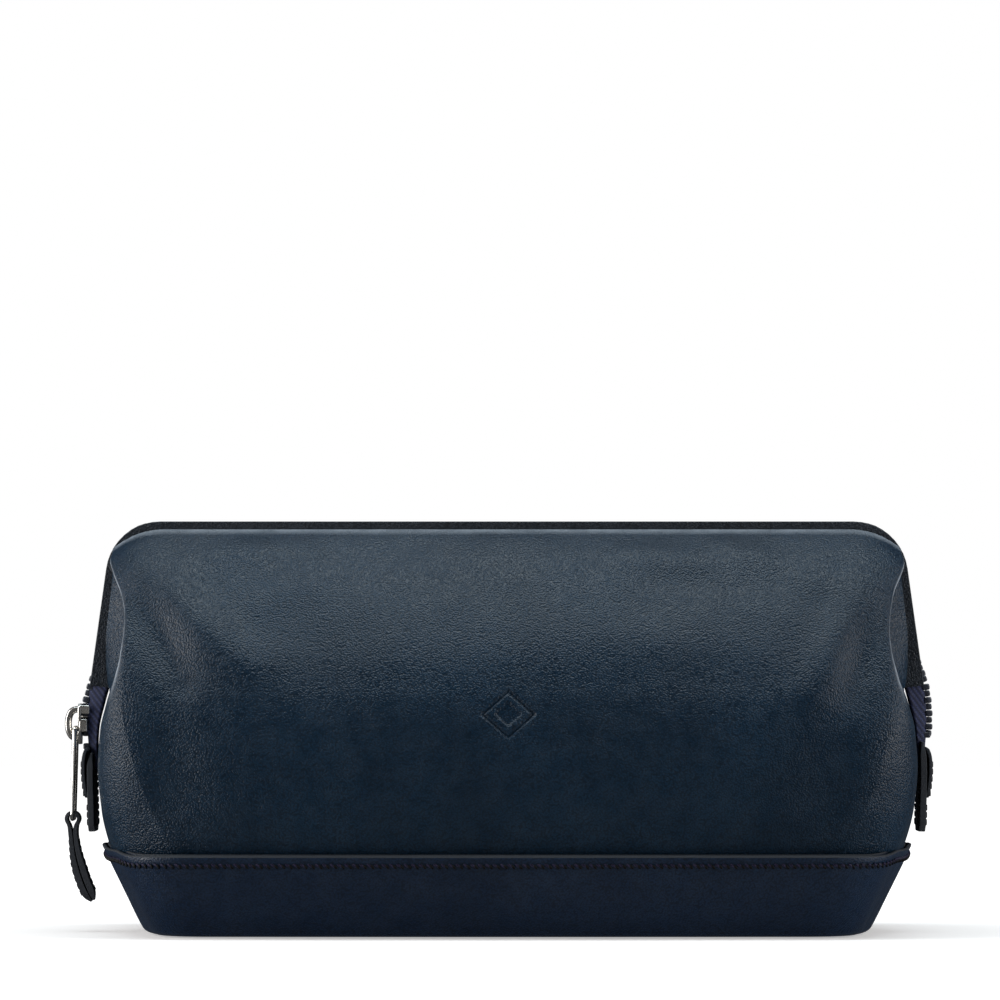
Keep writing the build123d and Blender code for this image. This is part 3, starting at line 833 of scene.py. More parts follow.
def band_layer(name, drop, inset, thickness, floor_z, materials, nodes):
    """One layer of the band: rounded under, leaning outward, with a soft cut edge on top."""
    rows = []
    base = [(0.0, 2.4), (0.1, 1.5), (0.4, 0.75), (0.95, 0.25), (1.8, 0.0)] if floor_z == 0 else [(floor_z, 0.0)]
    for z, pull in base:
        ring = band_outline(max(z, 0.0), inset + pull)
        rows.append(np.column_stack([ring, np.full(len(ring), z)]))
    lowest = base[-1][0]
    steps = 11
    for i in range(1, steps + 1):
        t = i / steps
        flat = band_outline(lowest + (BAND_TOP - lowest) * t, inset)
        top = band_edge_z(flat[:, 0], flat[:, 1], drop)
        ring = np.column_stack([flat, lowest + (top - lowest) * t])
        rows.append(ring)
    outer = np.array(rows)
    for r in range(1, len(outer) - 1):
        sway = soft_noise(outer[r:r + 1], 42.0, 11.0)[0] * 0.5 * smoothstep(outer[r, :, 2], 2, 12)
        away = outer[r, :, :2] / np.linalg.norm(outer[r, :, :2], axis=1)[:, None]
        outer[r, :, :2] += away * sway[:, None]
    count = outer.shape[1]
    # Over the cut edge and down the inside.
    last = outer[-1]
    ahead = np.roll(last, -1, axis=0) - np.roll(last, 1, axis=0)
    inward = np.column_stack([-ahead[:, 1], ahead[:, 0]])
    inward /= np.linalg.norm(inward, axis=1)[:, None]
    lip = []
    for across, down in ((0.18, -0.28), (0.5, -0.40), (0.82, -0.28), (1.0, 0.0)):
        ring = last.copy()
        ring[:, :2] += inward * across * thickness
        ring[:, 2] -= down * thickness * 0.9
        lip.append(ring)
    inside = []
    for r in range(len(outer) - 2, len(base) - 1, -2):
        ring = outer[r].copy()
        ring[:, :2] += inward * thickness
        inside.append(ring)
    grid = np.concatenate([outer, np.array(lip), np.array(inside)])
    verts = grid.reshape(-1, 3)
    faces = grid_faces(len(grid), count, closed=True)
    cut_rows = range(len(outer) - 1, len(outer) + len(lip) - 1)
    kinds = [1 if (k // count) in cut_rows else 0 for k in range(len(faces))]
    if floor_z == 0:
        hub = len(verts)
        verts = np.concatenate([verts, [[0.0, 0.0, 0.0]]])
        faces += [(hub, k, (k + 1) % count) for k in range(count)][::1]
        kinds += [0] * count
        faces[-count:] = [f[::-1] for f in faces[-count:]]
    painted_highlight = np.zeros(len(verts))
    obj = add_mesh(name, verts, faces, materials, body="root", face_materials=kinds, painted_highlight=painted_highlight)
    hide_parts(*nodes)
    return outer


band_skin = band_layer("bottom_band_leather", 0.0, 0.0, 1.7, 0, [band_leather, dark_edge], ["bottom_band"])
band_layer("band_backing_leather", -0.6, 1.9, 1.2, 8.0, [band_leather, dark_edge], ["band_backing"])


def band_stitching():
    """Slanted thread stitches sunk in the band a little under its top edge, each with a near-black capsule at its lower
    end as painted shade in the needle hole.
    """
    row = band_skin[-2] * 0.0
    top = band_skin[-1]
    below = band_skin[-3]
    drop = (top[:, 2] - below[:, 2])[:, None]
    row = top + (below - top) * (2.7 / drop)
    closed = np.concatenate([row, row[:1]])
    travel = along(closed)
    pitch = 2.5
    count = int(travel[-1] / pitch)
    stitches, hole_shades = [], []
    for i in range(count):
        s = (i + 0.5) * travel[-1] / count
        point = np.array([np.interp(s, travel, closed[:, k]) for k in range(3)])
        ahead = np.array([np.interp(min(s + 1, travel[-1]), travel, closed[:, k]) for k in range(3)])
        behind = np.array([np.interp(max(s - 1, 0), travel, closed[:, k]) for k in range(3)])
        run = (ahead - behind) / np.linalg.norm(ahead - behind)
        out = np.array([run[1], -run[0], 0.0])
        lean = run * 0.86 - np.array([0, 0, 0.42])
        centre = point + out * 0.30
        stitches.append(capsule(centre - lean * 0.85, centre + lean * 0.45, 0.42))
        # Each stitch's needle hole is a near-black capsule: painted shade.
        hole = centre + lean * 0.95 + out * 0.14
        steep = run * 0.30 - np.array([0, 0, 0.36])
        hole_shades.append(capsule(hole - steep, hole + steep, 0.44))
    verts, faces = merge(stitches + hole_shades)
    per_stitch = len(stitches[0][1])
    kinds = [0] * (per_stitch * count) + [1] * (per_stitch * count)
    obj = add_mesh("band_stitching", verts, faces, [thread_navy, painted_hole_shade], body="root", face_materials=kinds)
    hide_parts("band_stitches")


band_stitching()


# ---------------------------------------------------------------- frame fins: sleeves, steel, tape and teeth
FIN_PATH = rounded_path(
    [(-FIN_FOOT_X, FIN_BOTTOM), (-FIN_HEAD_X, FIN_TOP), (FIN_HEAD_X, FIN_TOP), (FIN_FOOT_X, FIN_BOTTOM)],
    [FIN_RADIUS, FIN_RADIUS],
    3.0,
)


def inset_path(path, inset, x_ends=None):
    normal = inward_normals(path)
    return path + normal * inset


def fin_layer(name, y_near, y_far, inset_out, inset_in, material, body, node=None, ends=0.0, wave=0.0,
              edge=None):
    """A flat strip bent along the frame's edge, from depth y_near to y_far."""
    path = FIN_PATH
    outer = inset_path(path, inset_out)
    inner = inset_path(path, inset_in)
    if ends:
        for strip in (outer, inner):
            strip[0, 1] += ends
            strip[-1, 1] += ends
    across = [outer + (inner - outer) * t for t in (0.0, 0.33, 0.66, 1.0)]
    verts, kinds = [], []
    for y in (y_near, y_far):
        for line in across:
            sway = np.array([noise.noise(Vector((p[0] / 30.0, 5.0 * y_near, p[1] / 30.0))) * wave for p in line])
            verts.append(np.column_stack([line[:, 0], np.full(len(line), y) + sway, line[:, 1]]))
    rows = len(path)
    lines = len(across)
    grid = np.array(verts)                      # (2 * lines, rows, 3)
    flat = grid.reshape(-1, 3)

    def index(side, line, row):
        return (side * lines + line) * rows + row

    faces = []
    for row in range(rows - 1):
        for line in range(lines - 1):
            faces.append((index(0, line, row), index(0, line, row + 1), index(0, line + 1, row + 1),
                          index(0, line + 1, row)))
            kinds.append(0)
            faces.append((index(1, line + 1, row), index(1, line + 1, row + 1), index(1, line, row + 1),
                          index(1, line, row)))
            kinds.append(0)
        for line, turn in ((0, False), (lines - 1, True)):
            quad = (index(0, line, row + 1), index(0, line, row), index(1, line, row), index(1, line, row + 1))
            faces.append(quad[::-1] if turn else quad)
            kinds.append(1)
    for row, turn in ((0, False), (rows - 1, True)):
        for line in range(lines - 1):
            quad = (index(0, line, row), index(0, line + 1, row), index(1, line + 1, row), index(1, line, row))
            faces.append(quad[::-1] if turn else quad)
            kinds.append(1)
    if y_far < y_near:
        faces = [f[::-1] for f in faces]
    materials = [material, edge or material]
    obj = add_mesh(name, flat, faces, materials, body=body, smooth=True, face_materials=kinds,
                   painted_highlight=np.zeros(len(flat)))
    if node:
        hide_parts(node)
    return obj


for side, sign in (("front", -1), ("back", 1)):
    body = f"{side}_frame"
    outer_layer = fin_layer(f"{side}_fin_outer", sign * 7.75, sign * 9.0, 0.0, FIN_WIDTH, sleeve_leather, body,
                            f"{side}_frame_sleeve", wave=0.0, edge=dark_edge)
    inner_layer = fin_layer(f"{side}_fin_inner", sign * 5.8, sign * 7.0, 0.35, FIN_WIDTH, sleeve_leather, body,
                            f"{side}_frame_sleeve", ends=0.5, wave=0.0, edge=pale_edge)
    bar = fin_layer(f"{side}_steel_bar", sign * 7.0, sign * 7.75, 2.4, 7.2, nickel, body, f"{side}_frame_bar",
                    ends=2.0)
    for piece in (outer_layer, inner_layer):
        round_edges(piece, 0.35)
    round_edges(bar, 0.15, segments=1)

CHAIN_FOOT = (145.9, 86.6)
CHAIN_PATH = rounded_path([(-144.9, CHAIN_FOOT[1]), (-141.0, 97.5), (-135.3, 140.6), (135.3, 140.6),
                           (141.9, 97.5), CHAIN_FOOT], [20.0, 16.0, 16.0, 20.0], 2.0)


def resample(path, step):
    travel = along(path)
    count = max(2, int(round(travel[-1] / step)) + 1)
    places = np.linspace(0, travel[-1], count)
    return np.column_stack([np.interp(places, travel, path[:, k]) for k in range(path.shape[1])]), travel[-1]


def tape_half(side, sign):
    """Half the zip tape: a soft web from the fins up to the chain."""
    path = FIN_PATH
    outer = inset_path(path, 0.6)
    inner = inset_path(path, 11.0)
    levels = [(inner, 5.5), (inset_path(path, 6.0), 5.45), (inset_path(path, 2.5), 5.3), (outer, 4.7)]
    chain = inset_path(path, -0.4)
    levels.append((chain, 2.2))
    grid = []
    for line, y in levels:
        grid.append(np.column_stack([line[:, 0], np.full(len(line), sign * y), line[:, 1]]))
    grid = np.array(grid)
    low = np.minimum(grid[..., 2], 142.0)
    grid[..., 2] = low
    under = grid.copy()
    under[..., 1] -= sign * 0.35
    rows, count = grid.shape[:2]
    total = rows * count
    flat = np.concatenate([grid.reshape(-1, 3), under.reshape(-1, 3)])
    faces = grid_faces(rows, count) + grid_faces(rows, count, start=total, flip=True)
    faces += [(c, c + 1, c + 1 + total, c + total) for c in range(count - 1)]
    top = (rows - 1) * count
    faces += [(top + c + 1, top + c, top + c + total, top + c + 1 + total) for c in range(count - 1)]
    for c in (0, count - 1):
        for r in range(rows - 1):
            quad = (r * count + c, r * count + c + total, (r + 1) * count + c + total, (r + 1) * count + c)
            faces.append(quad if c == 0 else quad[::-1])
    if sign > 0:
        faces = [f[::-1] for f in faces]
    obj = add_mesh(f"{side}_tape_web", flat, faces, tape_cloth, body=f"{side}_frame")
    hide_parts(f"{side}_zip_tape")


def tooth(length=2.25, height=2.7, reach=2.5):
    """One moulded tooth: a rounded block with a waist and a scoop, long way across the chain."""
    sections = [(0.0, 0.55, 0.80), (0.25, 0.92, 0.98), (0.8, 1.0, 1.0), (1.15, 0.72, 0.94), (1.5, 0.72, 0.94),
                (1.9, 1.0, 1.0), (2.3, 0.92, 0.92), (2.5, 0.5, 0.7)]
    ring = 12
    verts = []
    for y, wide, tall in sections:
        for k in range(ring):
            angle = 2 * pi * k / ring
            c, s = cos(angle), sin(angle)
            c = np.sign(c) * abs(c) ** 0.55
            s = np.sign(s) * abs(s) ** 0.55
            verts.append((c * wide * length / 2, y * reach / 2.5, s * tall * height / 2))
    faces = grid_faces(len(sections), ring, closed=True)
    faces.append(tuple(range(ring))[::-1])
    faces.append(tuple((len(sections) - 1) * ring + k for k in range(ring)))
    return np.array(verts), faces


def chain(path, sign, phase, pitch=4.2, reach=2.5, height=2.6):
    """Teeth of one side along an (x, z) path; phase 0 or 1 sets which half of the pitch they take."""
    travel = along(path)
    template, faces = tooth(height=height, reach=reach)
    count = int(travel[-1] / pitch)
    parts = []
    for i in range(count):
        s = travel[-1] * (i + 0.25 + 0.5 * phase) / count
        x, z = (np.interp(s, travel, path[:, k]) for k in (0, 1))
        ahead = [np.interp(min(s + 0.5, travel[-1]), travel, path[:, k]) for k in (0, 1)]
        behind = [np.interp(max(s - 0.5, 0), travel, path[:, k]) for k in (0, 1)]
        run = np.array([ahead[0] - behind[0], 0, ahead[1] - behind[1]])
        run /= np.linalg.norm(run)
        up = np.array([-run[2], 0, run[0]])
        turned = (template[:, :1] * run + template[:, 1:2] * np.array([0, sign, 0]) + template[:, 2:] * up)
        own = [f if sign > 0 else f[::-1] for f in faces]
        parts.append((turned + np.array([x, 0, z]), own))
    return merge(parts)


for side, sign, phase in (("front", -1, 0), ("back", 1, 1)):
    tape_half(side, sign)
    verts, faces = chain(CHAIN_PATH, sign, phase)
    piece = add_mesh(f"{side}_teeth", verts, faces, tooth_plastic, body=f"{side}_frame")
    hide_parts(f"{side}_zip_teeth")


# ---------------------------------------------------------------- zip tails and end tabs
def ribbon(name, spine, half_width, thickness, material, body, node=None, edge=None, taper=None, y=0.0,
           soften=0.2):
    """A flat strip that follows an (x, z) spine, lying across Y: leather tabs and tape tails."""
    spine = np.array(spine, float)
    normal = inward_normals(spine)
    travel = along(spine)
    across = np.array([-1.0, -0.8, -0.4, 0.0, 0.4, 0.8, 1.0])
    verts = []
    for side in (0.5, -0.5):
        for i, point in enumerate(spine):
            share = travel[i] / travel[-1]
            half = half_width * (taper(share) if taper else 1.0)
            thick = thickness(share) if callable(thickness) else thickness
            for a in across:
                fall = 1 - 0.18 * abs(a) ** 4
                offset = normal[i] * side * thick * fall
                verts.append((point[0] + offset[0], y + a * half, point[1] + offset[1]))
    rows, cols = len(spine), len(across)
    total = rows * cols
    faces = grid_faces(rows, cols) + grid_faces(rows, cols, start=total, flip=True)
    kinds = [0] * len(faces)
    rim = []
    for c in range(cols - 1):
        rim.append((c + 1, c, c + total, c + 1 + total))
        top = (rows - 1) * cols
        rim.append((top + c, top + c + 1, top + c + 1 + total, top + c + total))
    for r in range(rows - 1):
        rim.append((r * cols, (r + 1) * cols, (r + 1) * cols + total, r * cols + total))
        end = cols - 1
        rim.append(((r + 1) * cols + end, r * cols + end, r * cols + end + total, (r + 1) * cols + end + total))
    faces += rim
    kinds += [1] * len(rim)
    obj = add_mesh(name, verts, faces, [material, edge or material], body=body, face_materials=kinds,
                   painted_highlight=np.zeros(len(verts)))
    if node:
        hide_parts(*([node] if isinstance(node, str) else node))
    round_edges(obj, soften)
    return obj


def spine_through(points, step=1.2):
    """A smooth curve through a few (x, z) points."""
    points = np.array(points, float)
    dense = []
    padded = np.concatenate([[2 * points[0] - points[1]], points, [2 * points[-1] - points[-2]]])
    for i in range(1, len(padded) - 2):
        p0, p1, p2, p3 = padded[i - 1:i + 3]
        for t in np.linspace(0, 1, 12, endpoint=False):
            dense.append(0.5 * (2 * p1 + (p2 - p0) * t + (2 * p0 - 5 * p1 + 4 * p2 - p3) * t * t
                                + (3 * p1 - p0 - 3 * p2 + p3) * t**3))
    dense.append(points[-1])
    return resample(np.array(dense), step)[0]


def flat_bottom(share):
    """Width along a tab: full, with rounded lower corners."""
    return 1.0 - 0.35 * smoothstep(share, 0.86, 1.0)


tail_inner_x = smooth_table((56.0, 142.6), (64.0, 142.9), (70.0, 142.6), (80.0, 140.4), (87.0, 138.6), (94.0, 137.6))
tail_outer_x = smooth_table((56.0, 145.4), (64.0, 145.9), (71.5, 146.4), (79.0, 146.2), (86.0, 145.0), (94.0, 141.6))


def tail_web(sign, side):
    """Tape of one side of a zip tail: it faces front or back, and narrows down towards the tab."""
    rows = []
    for z in np.arange(56.0, 94.1, 1.0):
        inner, outer = float(tail_inner_x(z)), float(tail_outer_x(z))
        line = []
        for t in np.linspace(0, 1, 7):
            ripple = 0.35 * sin(z / 4.0 + 3.0 * t + sign)
            y = 4.9 * (1 - t) ** 0.8 + 1.9 * t**1.2 + ripple * (1 - t)
            line.append((sign * (inner + (outer - inner) * t), side * y, z))
        rows.append(line)
    grid = np.array(rows)
    under = grid - np.array([0.0, side * 0.7, 0.0])
    count = grid.shape[1]
    total = grid.shape[0] * count
    turned = sign * side < 0
    faces = grid_faces(grid.shape[0], count, flip=turned)
    faces += grid_faces(grid.shape[0], count, start=total, flip=not turned)
    rim = [(c + 1, c, c + total, c + 1 + total) for c in range(count - 1)]
    top = (grid.shape[0] - 1) * count
    rim += [(top + c, top + c + 1, top + c + 1 + total, top + c + total) for c in range(count - 1)]
    for r in range(grid.shape[0] - 1):
        rim.append((r * count, (r + 1) * count, (r + 1) * count + total, r * count + total))
        e = r * count + count - 1
        rim.append((e + count, e, e + total, e + count + total))
    faces += [f[::-1] for f in rim] if turned else rim
    return np.concatenate([grid.reshape(-1, 3), under.reshape(-1, 3)]), faces


for end, sign in (("left", -1), ("right", 1)):
    body = f"{end}_tail"
    chain_spine = spine_through([(-145.0 if end == "left" else 146.0, 86.0), (sign * 147.0, 79.0), (sign * 147.2, 73.0),
                                 (sign * 146.9, 67.6)])
    strips = [tail_web(sign, side) for side in (-1, 1)]
    verts, faces = merge(strips)
    piece = add_mesh(f"{end}_tail_cloth", verts, faces, tape_cloth, body=body)
    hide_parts(f"{end}_tail_tape")
    halves = []
    for side in (-1, 1):
        halves.append(chain(chain_spine, side, 0 if side < 0 else 1, reach=2.6, height=2.8))
    verts, faces = merge(halves)
    piece = add_mesh(f"{end}_tail_chain", verts, faces, tooth_plastic, body=body)
    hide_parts(f"{end}_tail_teeth")

TAB_HALF = 11.0


def tab_shape(share):
    """Width along a tab from its lower end: rounded corners below, drawn in a little at the top."""
    return 1.0 - 0.32 * (1 - smoothstep(share, 0.0, 0.09)) - 0.12 * smoothstep(share, 0.85, 1.0)


for end, sign, flex in (("left", -1, "left_tail"), ("right", 1, "right_tab")):
    top = 66.0 if end == "right" else 62.0
    main = spine_through([(sign * 144.3, 34.6), (sign * 144.5, 42.0), (sign * 144.8, 52.0), (sign * 144.8, 58.0),
                          (sign * 144.4, top)])
    ribbon(f"{end}_tab_inner_leather", main, TAB_HALF, lambda share: 2.8 - 1.5 * smoothstep(share, 0.82, 1.0),
           tab_leather, flex, f"{end}_tab_inner", edge=dark_edge, taper=tab_shape, soften=0.4)
    flap = spine_through([(sign * 146.1, 46.4), (sign * 146.7, 50.0), (sign * 147.2, 55.0), (sign * 147.1, 60.0),
                          (sign * 146.3, 63.0), (sign * 145.4, 63.6)])
    ribbon(f"{end}_tab_outer_leather", flap, TAB_HALF, 1.5, tab_leather, flex, f"{end}_tab_outer",
           edge=dark_edge, taper=tab_shape, soften=0.35)
    stitches = []
    for y_side in (-1, 1):
        for i in range(9):
            z = 38.0 + i * 2.5
            x = np.interp(z, main[:, 1], main[:, 0])
            faces_x = [x - sign * 1.33]
            if z < 45:
                faces_x.append(x + sign * 1.33)
            elif 47 < z < 60:
                faces_x.append(np.interp(z, flap[:, 1], flap[:, 0]) + sign * 0.7)
            for face_x in faces_x:
                stitches.append(capsule((face_x, y_side * 8.8, z - 0.8), (face_x, y_side * 8.8, z + 0.8), 0.28))
    for i in range(7):
        y = -7.2 + i * 2.4
        x = np.interp(37.0, main[:, 1], main[:, 0])
        for face_x in (x - sign * 1.33, x + sign * 1.33):
            stitches.append(capsule((face_x, y - 0.8, 37.0), (face_x, y + 0.8, 37.0), 0.28))
    verts, faces = merge(stitches)
    piece = add_mesh(f"{end}_tab_stitching", verts, faces, thread_black, body=flex)
    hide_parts(f"{end}_tab_stitches")
    low, high = cad_box(f"{end}_zip_stop")
    centre = (low + high) / 2
    size = high - low
    verts, faces = block(size * np.array([0.96, 0.96, 0.96]), centre)
    stop = add_mesh(f"{end}_end_stop", verts, faces, tooth_plastic, body=f"{end}_tail")
    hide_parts(f"{end}_zip_stop")
    round_edges(stop, 0.5, segments=3)


# ---------------------------------------------------------------- slider, wire loop and strap
SLIDER_LOW, SLIDER_HIGH = cad_box("slider_body")
CROWN_LOW, CROWN_HIGH = cad_box("slider_crown")
WIRE_LOW, WIRE_HIGH = cad_box("pull_wire")
STRAP_LOW, STRAP_HIGH = cad_box("pull_strap")


def slider_plate(x, thickness, z_low, z_high, half=4.9):
    """A slider plate: wide at the top shoulders, narrow at the tail, with rounded outline."""
    outline = []
    stations = [(0.0, 0.58), (0.10, 0.72), (0.30, 0.80), (0.55, 0.90), (0.75, 1.0), (0.92, 0.94), (1.0, 0.62)]
    for share, wide in stations:
        outline.append((wide * half, z_low + share * (z_high - z_low)))
    ring = [(y, z) for y, z in outline] + [(-y, z) for y, z in outline[::-1]]
    verts = [(x + thickness / 2, y, z) for y, z in ring] + [(x - thickness / 2, y, z) for y, z in ring]
    n = len(ring)
    faces = [tuple(range(n)), tuple(range(2 * n - 1, n - 1, -1))]
    faces += [(k, k + n, (k + 1) % n + n, (k + 1) % n) for k in range(n)]
    return np.array(verts), faces


z_low, z_high = SLIDER_LOW[2], SLIDER_HIGH[2]
x_out, x_in = SLIDER_LOW[0], SLIDER_HIGH[0]
parts = [slider_plate(x_out + 0.6, 1.2, z_low, z_high), slider_plate(x_in - 0.6, 1.2, z_low, z_high, half=2.0)]
parts.append(block((x_in - x_out - 1.2, 2.0, 4.0), ((x_in + x_out) / 2, 0, z_high - 3.0)))
for y_side in (-1, 1):
    parts.append(block((3.6, 1.1, 3.0), (x_out + 2.3, y_side * 4.0, z_high - 2.1)))
    parts.append(block((2.8, 1.0, 4.4), (x_out + 1.9, y_side * 4.0, z_high - 7.6)))
verts, faces = merge(parts)
body_piece = add_mesh("slider_casting", verts, faces, nickel, body="slider", smooth=True)
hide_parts("slider_body")
round_edges(body_piece, 0.3, segments=3, angle=30)


def crown():
    """The slider's arched bridge, which holds the wire loop: a flat strip bent into a bow."""
    x0, x1 = CROWN_LOW[0], CROWN_HIGH[0]
    bottom, top = CROWN_LOW[2], CROWN_HIGH[2]
    centre_z = (bottom + top) / 2
    rise = x1 - x0
    half = (top - bottom) / 2
    line = []
    for t in np.linspace(0, 1, 25):
        angle = pi * (t - 0.5)
        bow = max(0.0, cos(angle)) ** 0.6
        line.append((x1 - 0.1 - (rise - 1.0) * bow, centre_z - (half - 0.95) * sin(angle)))
    line = np.array(line)
    normal = inward_normals(line)
    verts = []
    ring = [(-1, -0.62), (-0.7, -1), (0.7, -1), (1, -0.62), (1, 0.62), (0.7, 1), (-0.7, 1), (-1, 0.62)]
    for i, point in enumerate(line):
        t = i / (len(line) - 1)
        wide = 2.2 - 0.4 * sin(pi * t)
        for a, b in ring:
            offset = normal[i] * b * 1.12
            verts.append((point[0] + offset[0], a * wide, point[1] + offset[1]))
    n = len(ring)
    faces = grid_faces(len(line), n, closed=True)
    faces.append(tuple(range(n))[::-1])
    faces.append(tuple((len(line) - 1) * n + k for k in range(n)))
    return np.array(verts), faces


verts, faces = crown()
piece = add_mesh("slider_bridge", verts, faces, nickel, body="slider")
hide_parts("slider_crown")
round_edges(piece, 0.15)

WIRE_TOP = np.array([-150.6, 70.5])
WIRE_END = np.array([-151.4, 39.0])
WIRE_RADIUS = 0.82
WIRE_HALF = 5.3


def wire_loop():
    """Long narrow loop: a barrel across the top, two straight legs, and a bar across the bottom."""
    def at(share, y):
        x, z = WIRE_TOP + (WIRE_END - WIRE_TOP) * share
        return np.array([x, y, z])

    path = []
    corners = [(0.0, -WIRE_HALF), (0.0, WIRE_HALF), (1.0, WIRE_HALF), (1.0, -WIRE_HALF)]
    spots = [at(*c) for c in corners]
    radius = 1.9
    for k, spot in enumerate(spots):
        before, after = spots[k - 1], spots[(k + 1) % 4]
        a = (before - spot) / np.linalg.norm(before - spot)
        b = (after - spot) / np.linalg.norm(after - spot)
        for t in np.linspace(0, 1, 7):
            path.append((1 - t) ** 2 * (spot + a * radius) + 2 * t * (1 - t) * spot + t * t * (spot + b * radius))
        gap = after - spot
        length = np.linalg.norm(gap)
        count = int((length - 2 * radius) / 2.0)
        for i in range(1, count):
            path.append(spot + b * (radius + (length - 2 * radius) * i / count))
    return tube(path, WIRE_RADIUS, sides=14, closed=True)


verts, faces = wire_loop()
piece = add_mesh("pull_wire_loop", verts, faces, nickel, body="wire_pull")
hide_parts("pull_wire")

STRAP_HALF = 3.8
EYE_RADIUS = 2.9
STRAP_LAYER = 1.35


def blade_layer(share):
    """Thickness of one of the blade's two layers, from the eye to the rounded tip."""
    return 1.75 + 0.85 * smoothstep(share, 0.08, 0.6) - 2.0 * smoothstep(share, 0.80, 1.04) ** 2


def strap():
    """A leather strip folded round the wire's lower bar: eye above, two layers below, curving in to its tip."""
    eye = np.array([WIRE_END[0], WIRE_END[1]])
    spine = spine_through([(eye[0] + 0.05, eye[1] - 4.2), (-150.9, 30.5), (-150.0, 25.0), (-148.1, 18.5),
                           (-146.0, 13.4), (-144.4, 10.4)], step=0.8)
    normal = inward_normals(spine)
    gap = (blade_layer(np.linspace(0, 1, len(spine))) / 2 - 0.03)[:, None]
    arc = [eye + (EYE_RADIUS - STRAP_LAYER / 2) * np.array([cos(a), sin(a)])
           for a in np.linspace(radians(-62), radians(242), 26)]
    inner = list(spine - normal * gap)
    outer = list(spine + normal * gap)
    strip = np.array(inner[::-1] + arc + outer)
    if np.linalg.norm(inner[0] - arc[0]) > np.linalg.norm(outer[0] - arc[0]):
        strip = np.array(outer[::-1] + arc + inner)
    # Softens the join between the layers and the eye.
    for _ in range(3):
        strip[1:-1] = strip[1:-1] * 0.5 + (strip[:-2] + strip[2:]) * 0.25
    return strip, spine


strip, strap_spine = strap()


def strap_width(share):
    """Full width along the strap, rounded off at both free ends."""
    distance = min(share, 1 - share) / 0.06
    return 1.0 if distance >= 1 else max(0.3, (1 - (1 - distance) ** 2) ** 0.5)


def strap_layer(share):
    """Thickness along the whole strip: thin round the wire, and the blade's own below."""
    from_tip = min(share, 1 - share) * along(strip)[-1] / along(strap_spine)[-1]
    if from_tip < 1:
        return float(blade_layer(1 - from_tip))
    return STRAP_LAYER + (1.75 - STRAP_LAYER) * float(1 - smoothstep(from_tip, 1.0, 1.12))


strap_piece = ribbon("pull_strap_leather", strip, STRAP_HALF, strap_layer, tab_leather, "strap_pull", "pull_strap",
                     edge=dark_edge, taper=strap_width, soften=0.3)
stitches = []
normal = inward_normals(strap_spine)
travel = along(strap_spine)
for y_side in (-1, 1):
    for i in range(9):
        s = 4.0 + i * 2.5
        if s + 2.0 > travel[-1]:
            break
        spot = np.array([np.interp(s, travel, strap_spine[:, k]) for k in (0, 1)])
        ahead = np.array([np.interp(s + 0.5, travel, strap_spine[:, k]) for k in (0, 1)]) - spot
        ahead /= np.linalg.norm(ahead)
        out = np.array([ahead[1], -ahead[0]])
        for face in (-1, 1):
            centre = spot + out * face * (float(blade_layer(s / travel[-1])) - 0.15)
            a = centre - ahead * 0.75
            b = centre + ahead * 0.75
            stitches.append(capsule((a[0], y_side * 2.8, a[1]), (b[0], y_side * 2.8, b[1]), 0.2))
verts, faces = merge(stitches)
piece = add_mesh("pull_strap_stitching", verts, faces, thread_black, body="strap_pull")
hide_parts("pull_strap_stitches")


# ---------------------------------------------------------------- CAD nodes that stay
def dress(node, material):
    """Gives a carried-over CAD node one of this script's materials."""
    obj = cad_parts[node]
    obj.data.materials.clear()
    obj.data.materials.append(material)


dress("base_board", cut_edge("board_fibre", (0.10, 0.09, 0.08), own=False))
cad_lining = woven("lining_cloth_cad", (0.095, 0.104, 0.124), (0.058, 0.064, 0.078), 0.7, (0.3, 0.2, 0.5), own=False)
dress("lining_base", cad_lining)


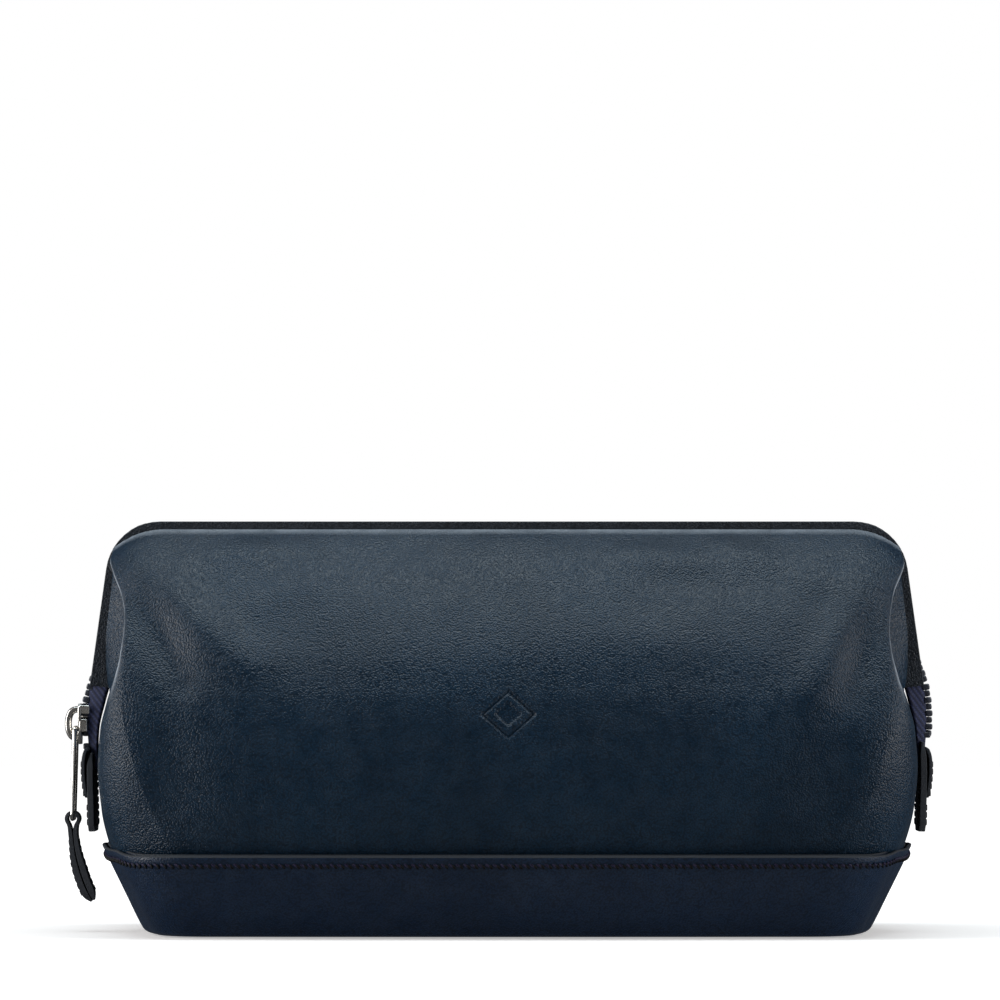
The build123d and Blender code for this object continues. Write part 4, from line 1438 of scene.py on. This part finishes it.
# ---------------------------------------------------------------- floor, light and camera
def make_floor():
    verts, faces = [(-3, -3, -0.0004), (3, -3, -0.0004), (3, 3, -0.0004), (-3, 3, -0.0004)], [(0, 1, 2, 3)]
    mesh = bpy.data.meshes.new("floor")
    mesh.from_pydata(verts, [], faces)
    n = Nodes("floor_white")
    place = n.add("ShaderNodeTexCoord").outputs["Object"]
    n.link(n.mix(n.noise(place, 6.0), (0.90, 0.84, 0.81), (0.93, 0.87, 0.84)), n.shader.inputs["Base Color"])
    n.set(Roughness=0.6, Specular_IOR_Level=0.25, Emission_Color=(1, 1, 1, 1))
    reach = n.add("ShaderNodeVectorMath", operation="LENGTH")
    n.link(place, reach.inputs[0])
    n.link(n.span(reach.outputs["Value"], 0.18, 0.5, 0.38, 1.0), n.shader.inputs["Emission Strength"])
    mesh.materials.append(n.material)
    floor = bpy.data.objects.new("floor", mesh)
    floor.visible_glossy = False
    bpy.context.scene.collection.objects.link(floor)
    floor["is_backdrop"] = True


def area_light(name, place, target, size, power, tone=(1, 1, 1), only=None):
    light = bpy.data.lights.new(name, "AREA")
    light.shape = "RECTANGLE"
    light.size, light.size_y = size
    light.energy = power
    light.color = tone
    obj = bpy.data.objects.new(name, light)
    obj.location = place
    obj.rotation_euler = (Vector(target) - Vector(place)).to_track_quat("-Z", "Y").to_euler()
    bpy.context.scene.collection.objects.link(obj)
    if only:
        lit = bpy.data.collections.new(f"{name}_lit")
        for piece in only:
            lit.objects.link(bpy.data.objects[piece])
        obj.light_linking.receiver_collection = lit


def make_studio():
    scene = bpy.context.scene
    world = bpy.data.worlds.new("studio")
    world.use_nodes = True
    # White behind the bag, and dim all round, so that the leather keeps its depth and the softboxes shape it.
    background = world.node_tree.nodes["Background"]
    path = world.node_tree.nodes.new("ShaderNodeLightPath")
    dim = world.node_tree.nodes.new("ShaderNodeMapRange")
    dim.inputs["To Min"].default_value = 0.06
    dim.inputs["To Max"].default_value = 1.0
    world.node_tree.links.new(path.outputs["Is Camera Ray"], dim.inputs["Value"])
    world.node_tree.links.new(dim.outputs["Result"], background.inputs["Strength"])
    background.inputs["Color"].default_value = (1.0, 1.0, 1.0, 1.0)
    scene.world = world
    scene.view_settings.view_transform = "Standard"
    scene.view_settings.look = "None"
    middle = (0, 0, 0.07)
    area_light("top", (0.0, -0.02, 1.25), middle, (1.4, 0.50), 14.2, (0.80, 0.93, 1.0))
    area_light("left_side", (-1.05, -0.21, 0.28), middle, (0.62, 0.8), 10.5)
    area_light("right_side", (1.05, -0.23, 0.32), middle, (0.62, 0.8), 6.5)
    bright = ("slider_casting", "slider_bridge", "pull_wire_loop")
    area_light("metal_left", (-1.3, -1.0, 0.5), middle, (1.6, 1.6), 9.0, only=bright)
    area_light("metal_front", (0.6, -1.9, 0.3), middle, (1.4, 1.0), 3.5, only=bright)


def make_camera():
    camera = bpy.data.cameras.new("camera")
    camera.lens = 206
    camera.sensor_width = 36
    camera.clip_start = 0.01
    camera.clip_end = 20
    obj = bpy.data.objects.new("camera", camera)
    aim = Vector((-0.0024, 0.0, 0.1502))
    obj.location = (-0.0024, -2.0, 0.095)
    obj.rotation_euler = (aim - obj.location).to_track_quat("-Z", "Y").to_euler()
    bpy.context.scene.collection.objects.link(obj)
    bpy.context.scene.camera = obj


make_floor()
make_studio()
make_camera()

low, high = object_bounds()
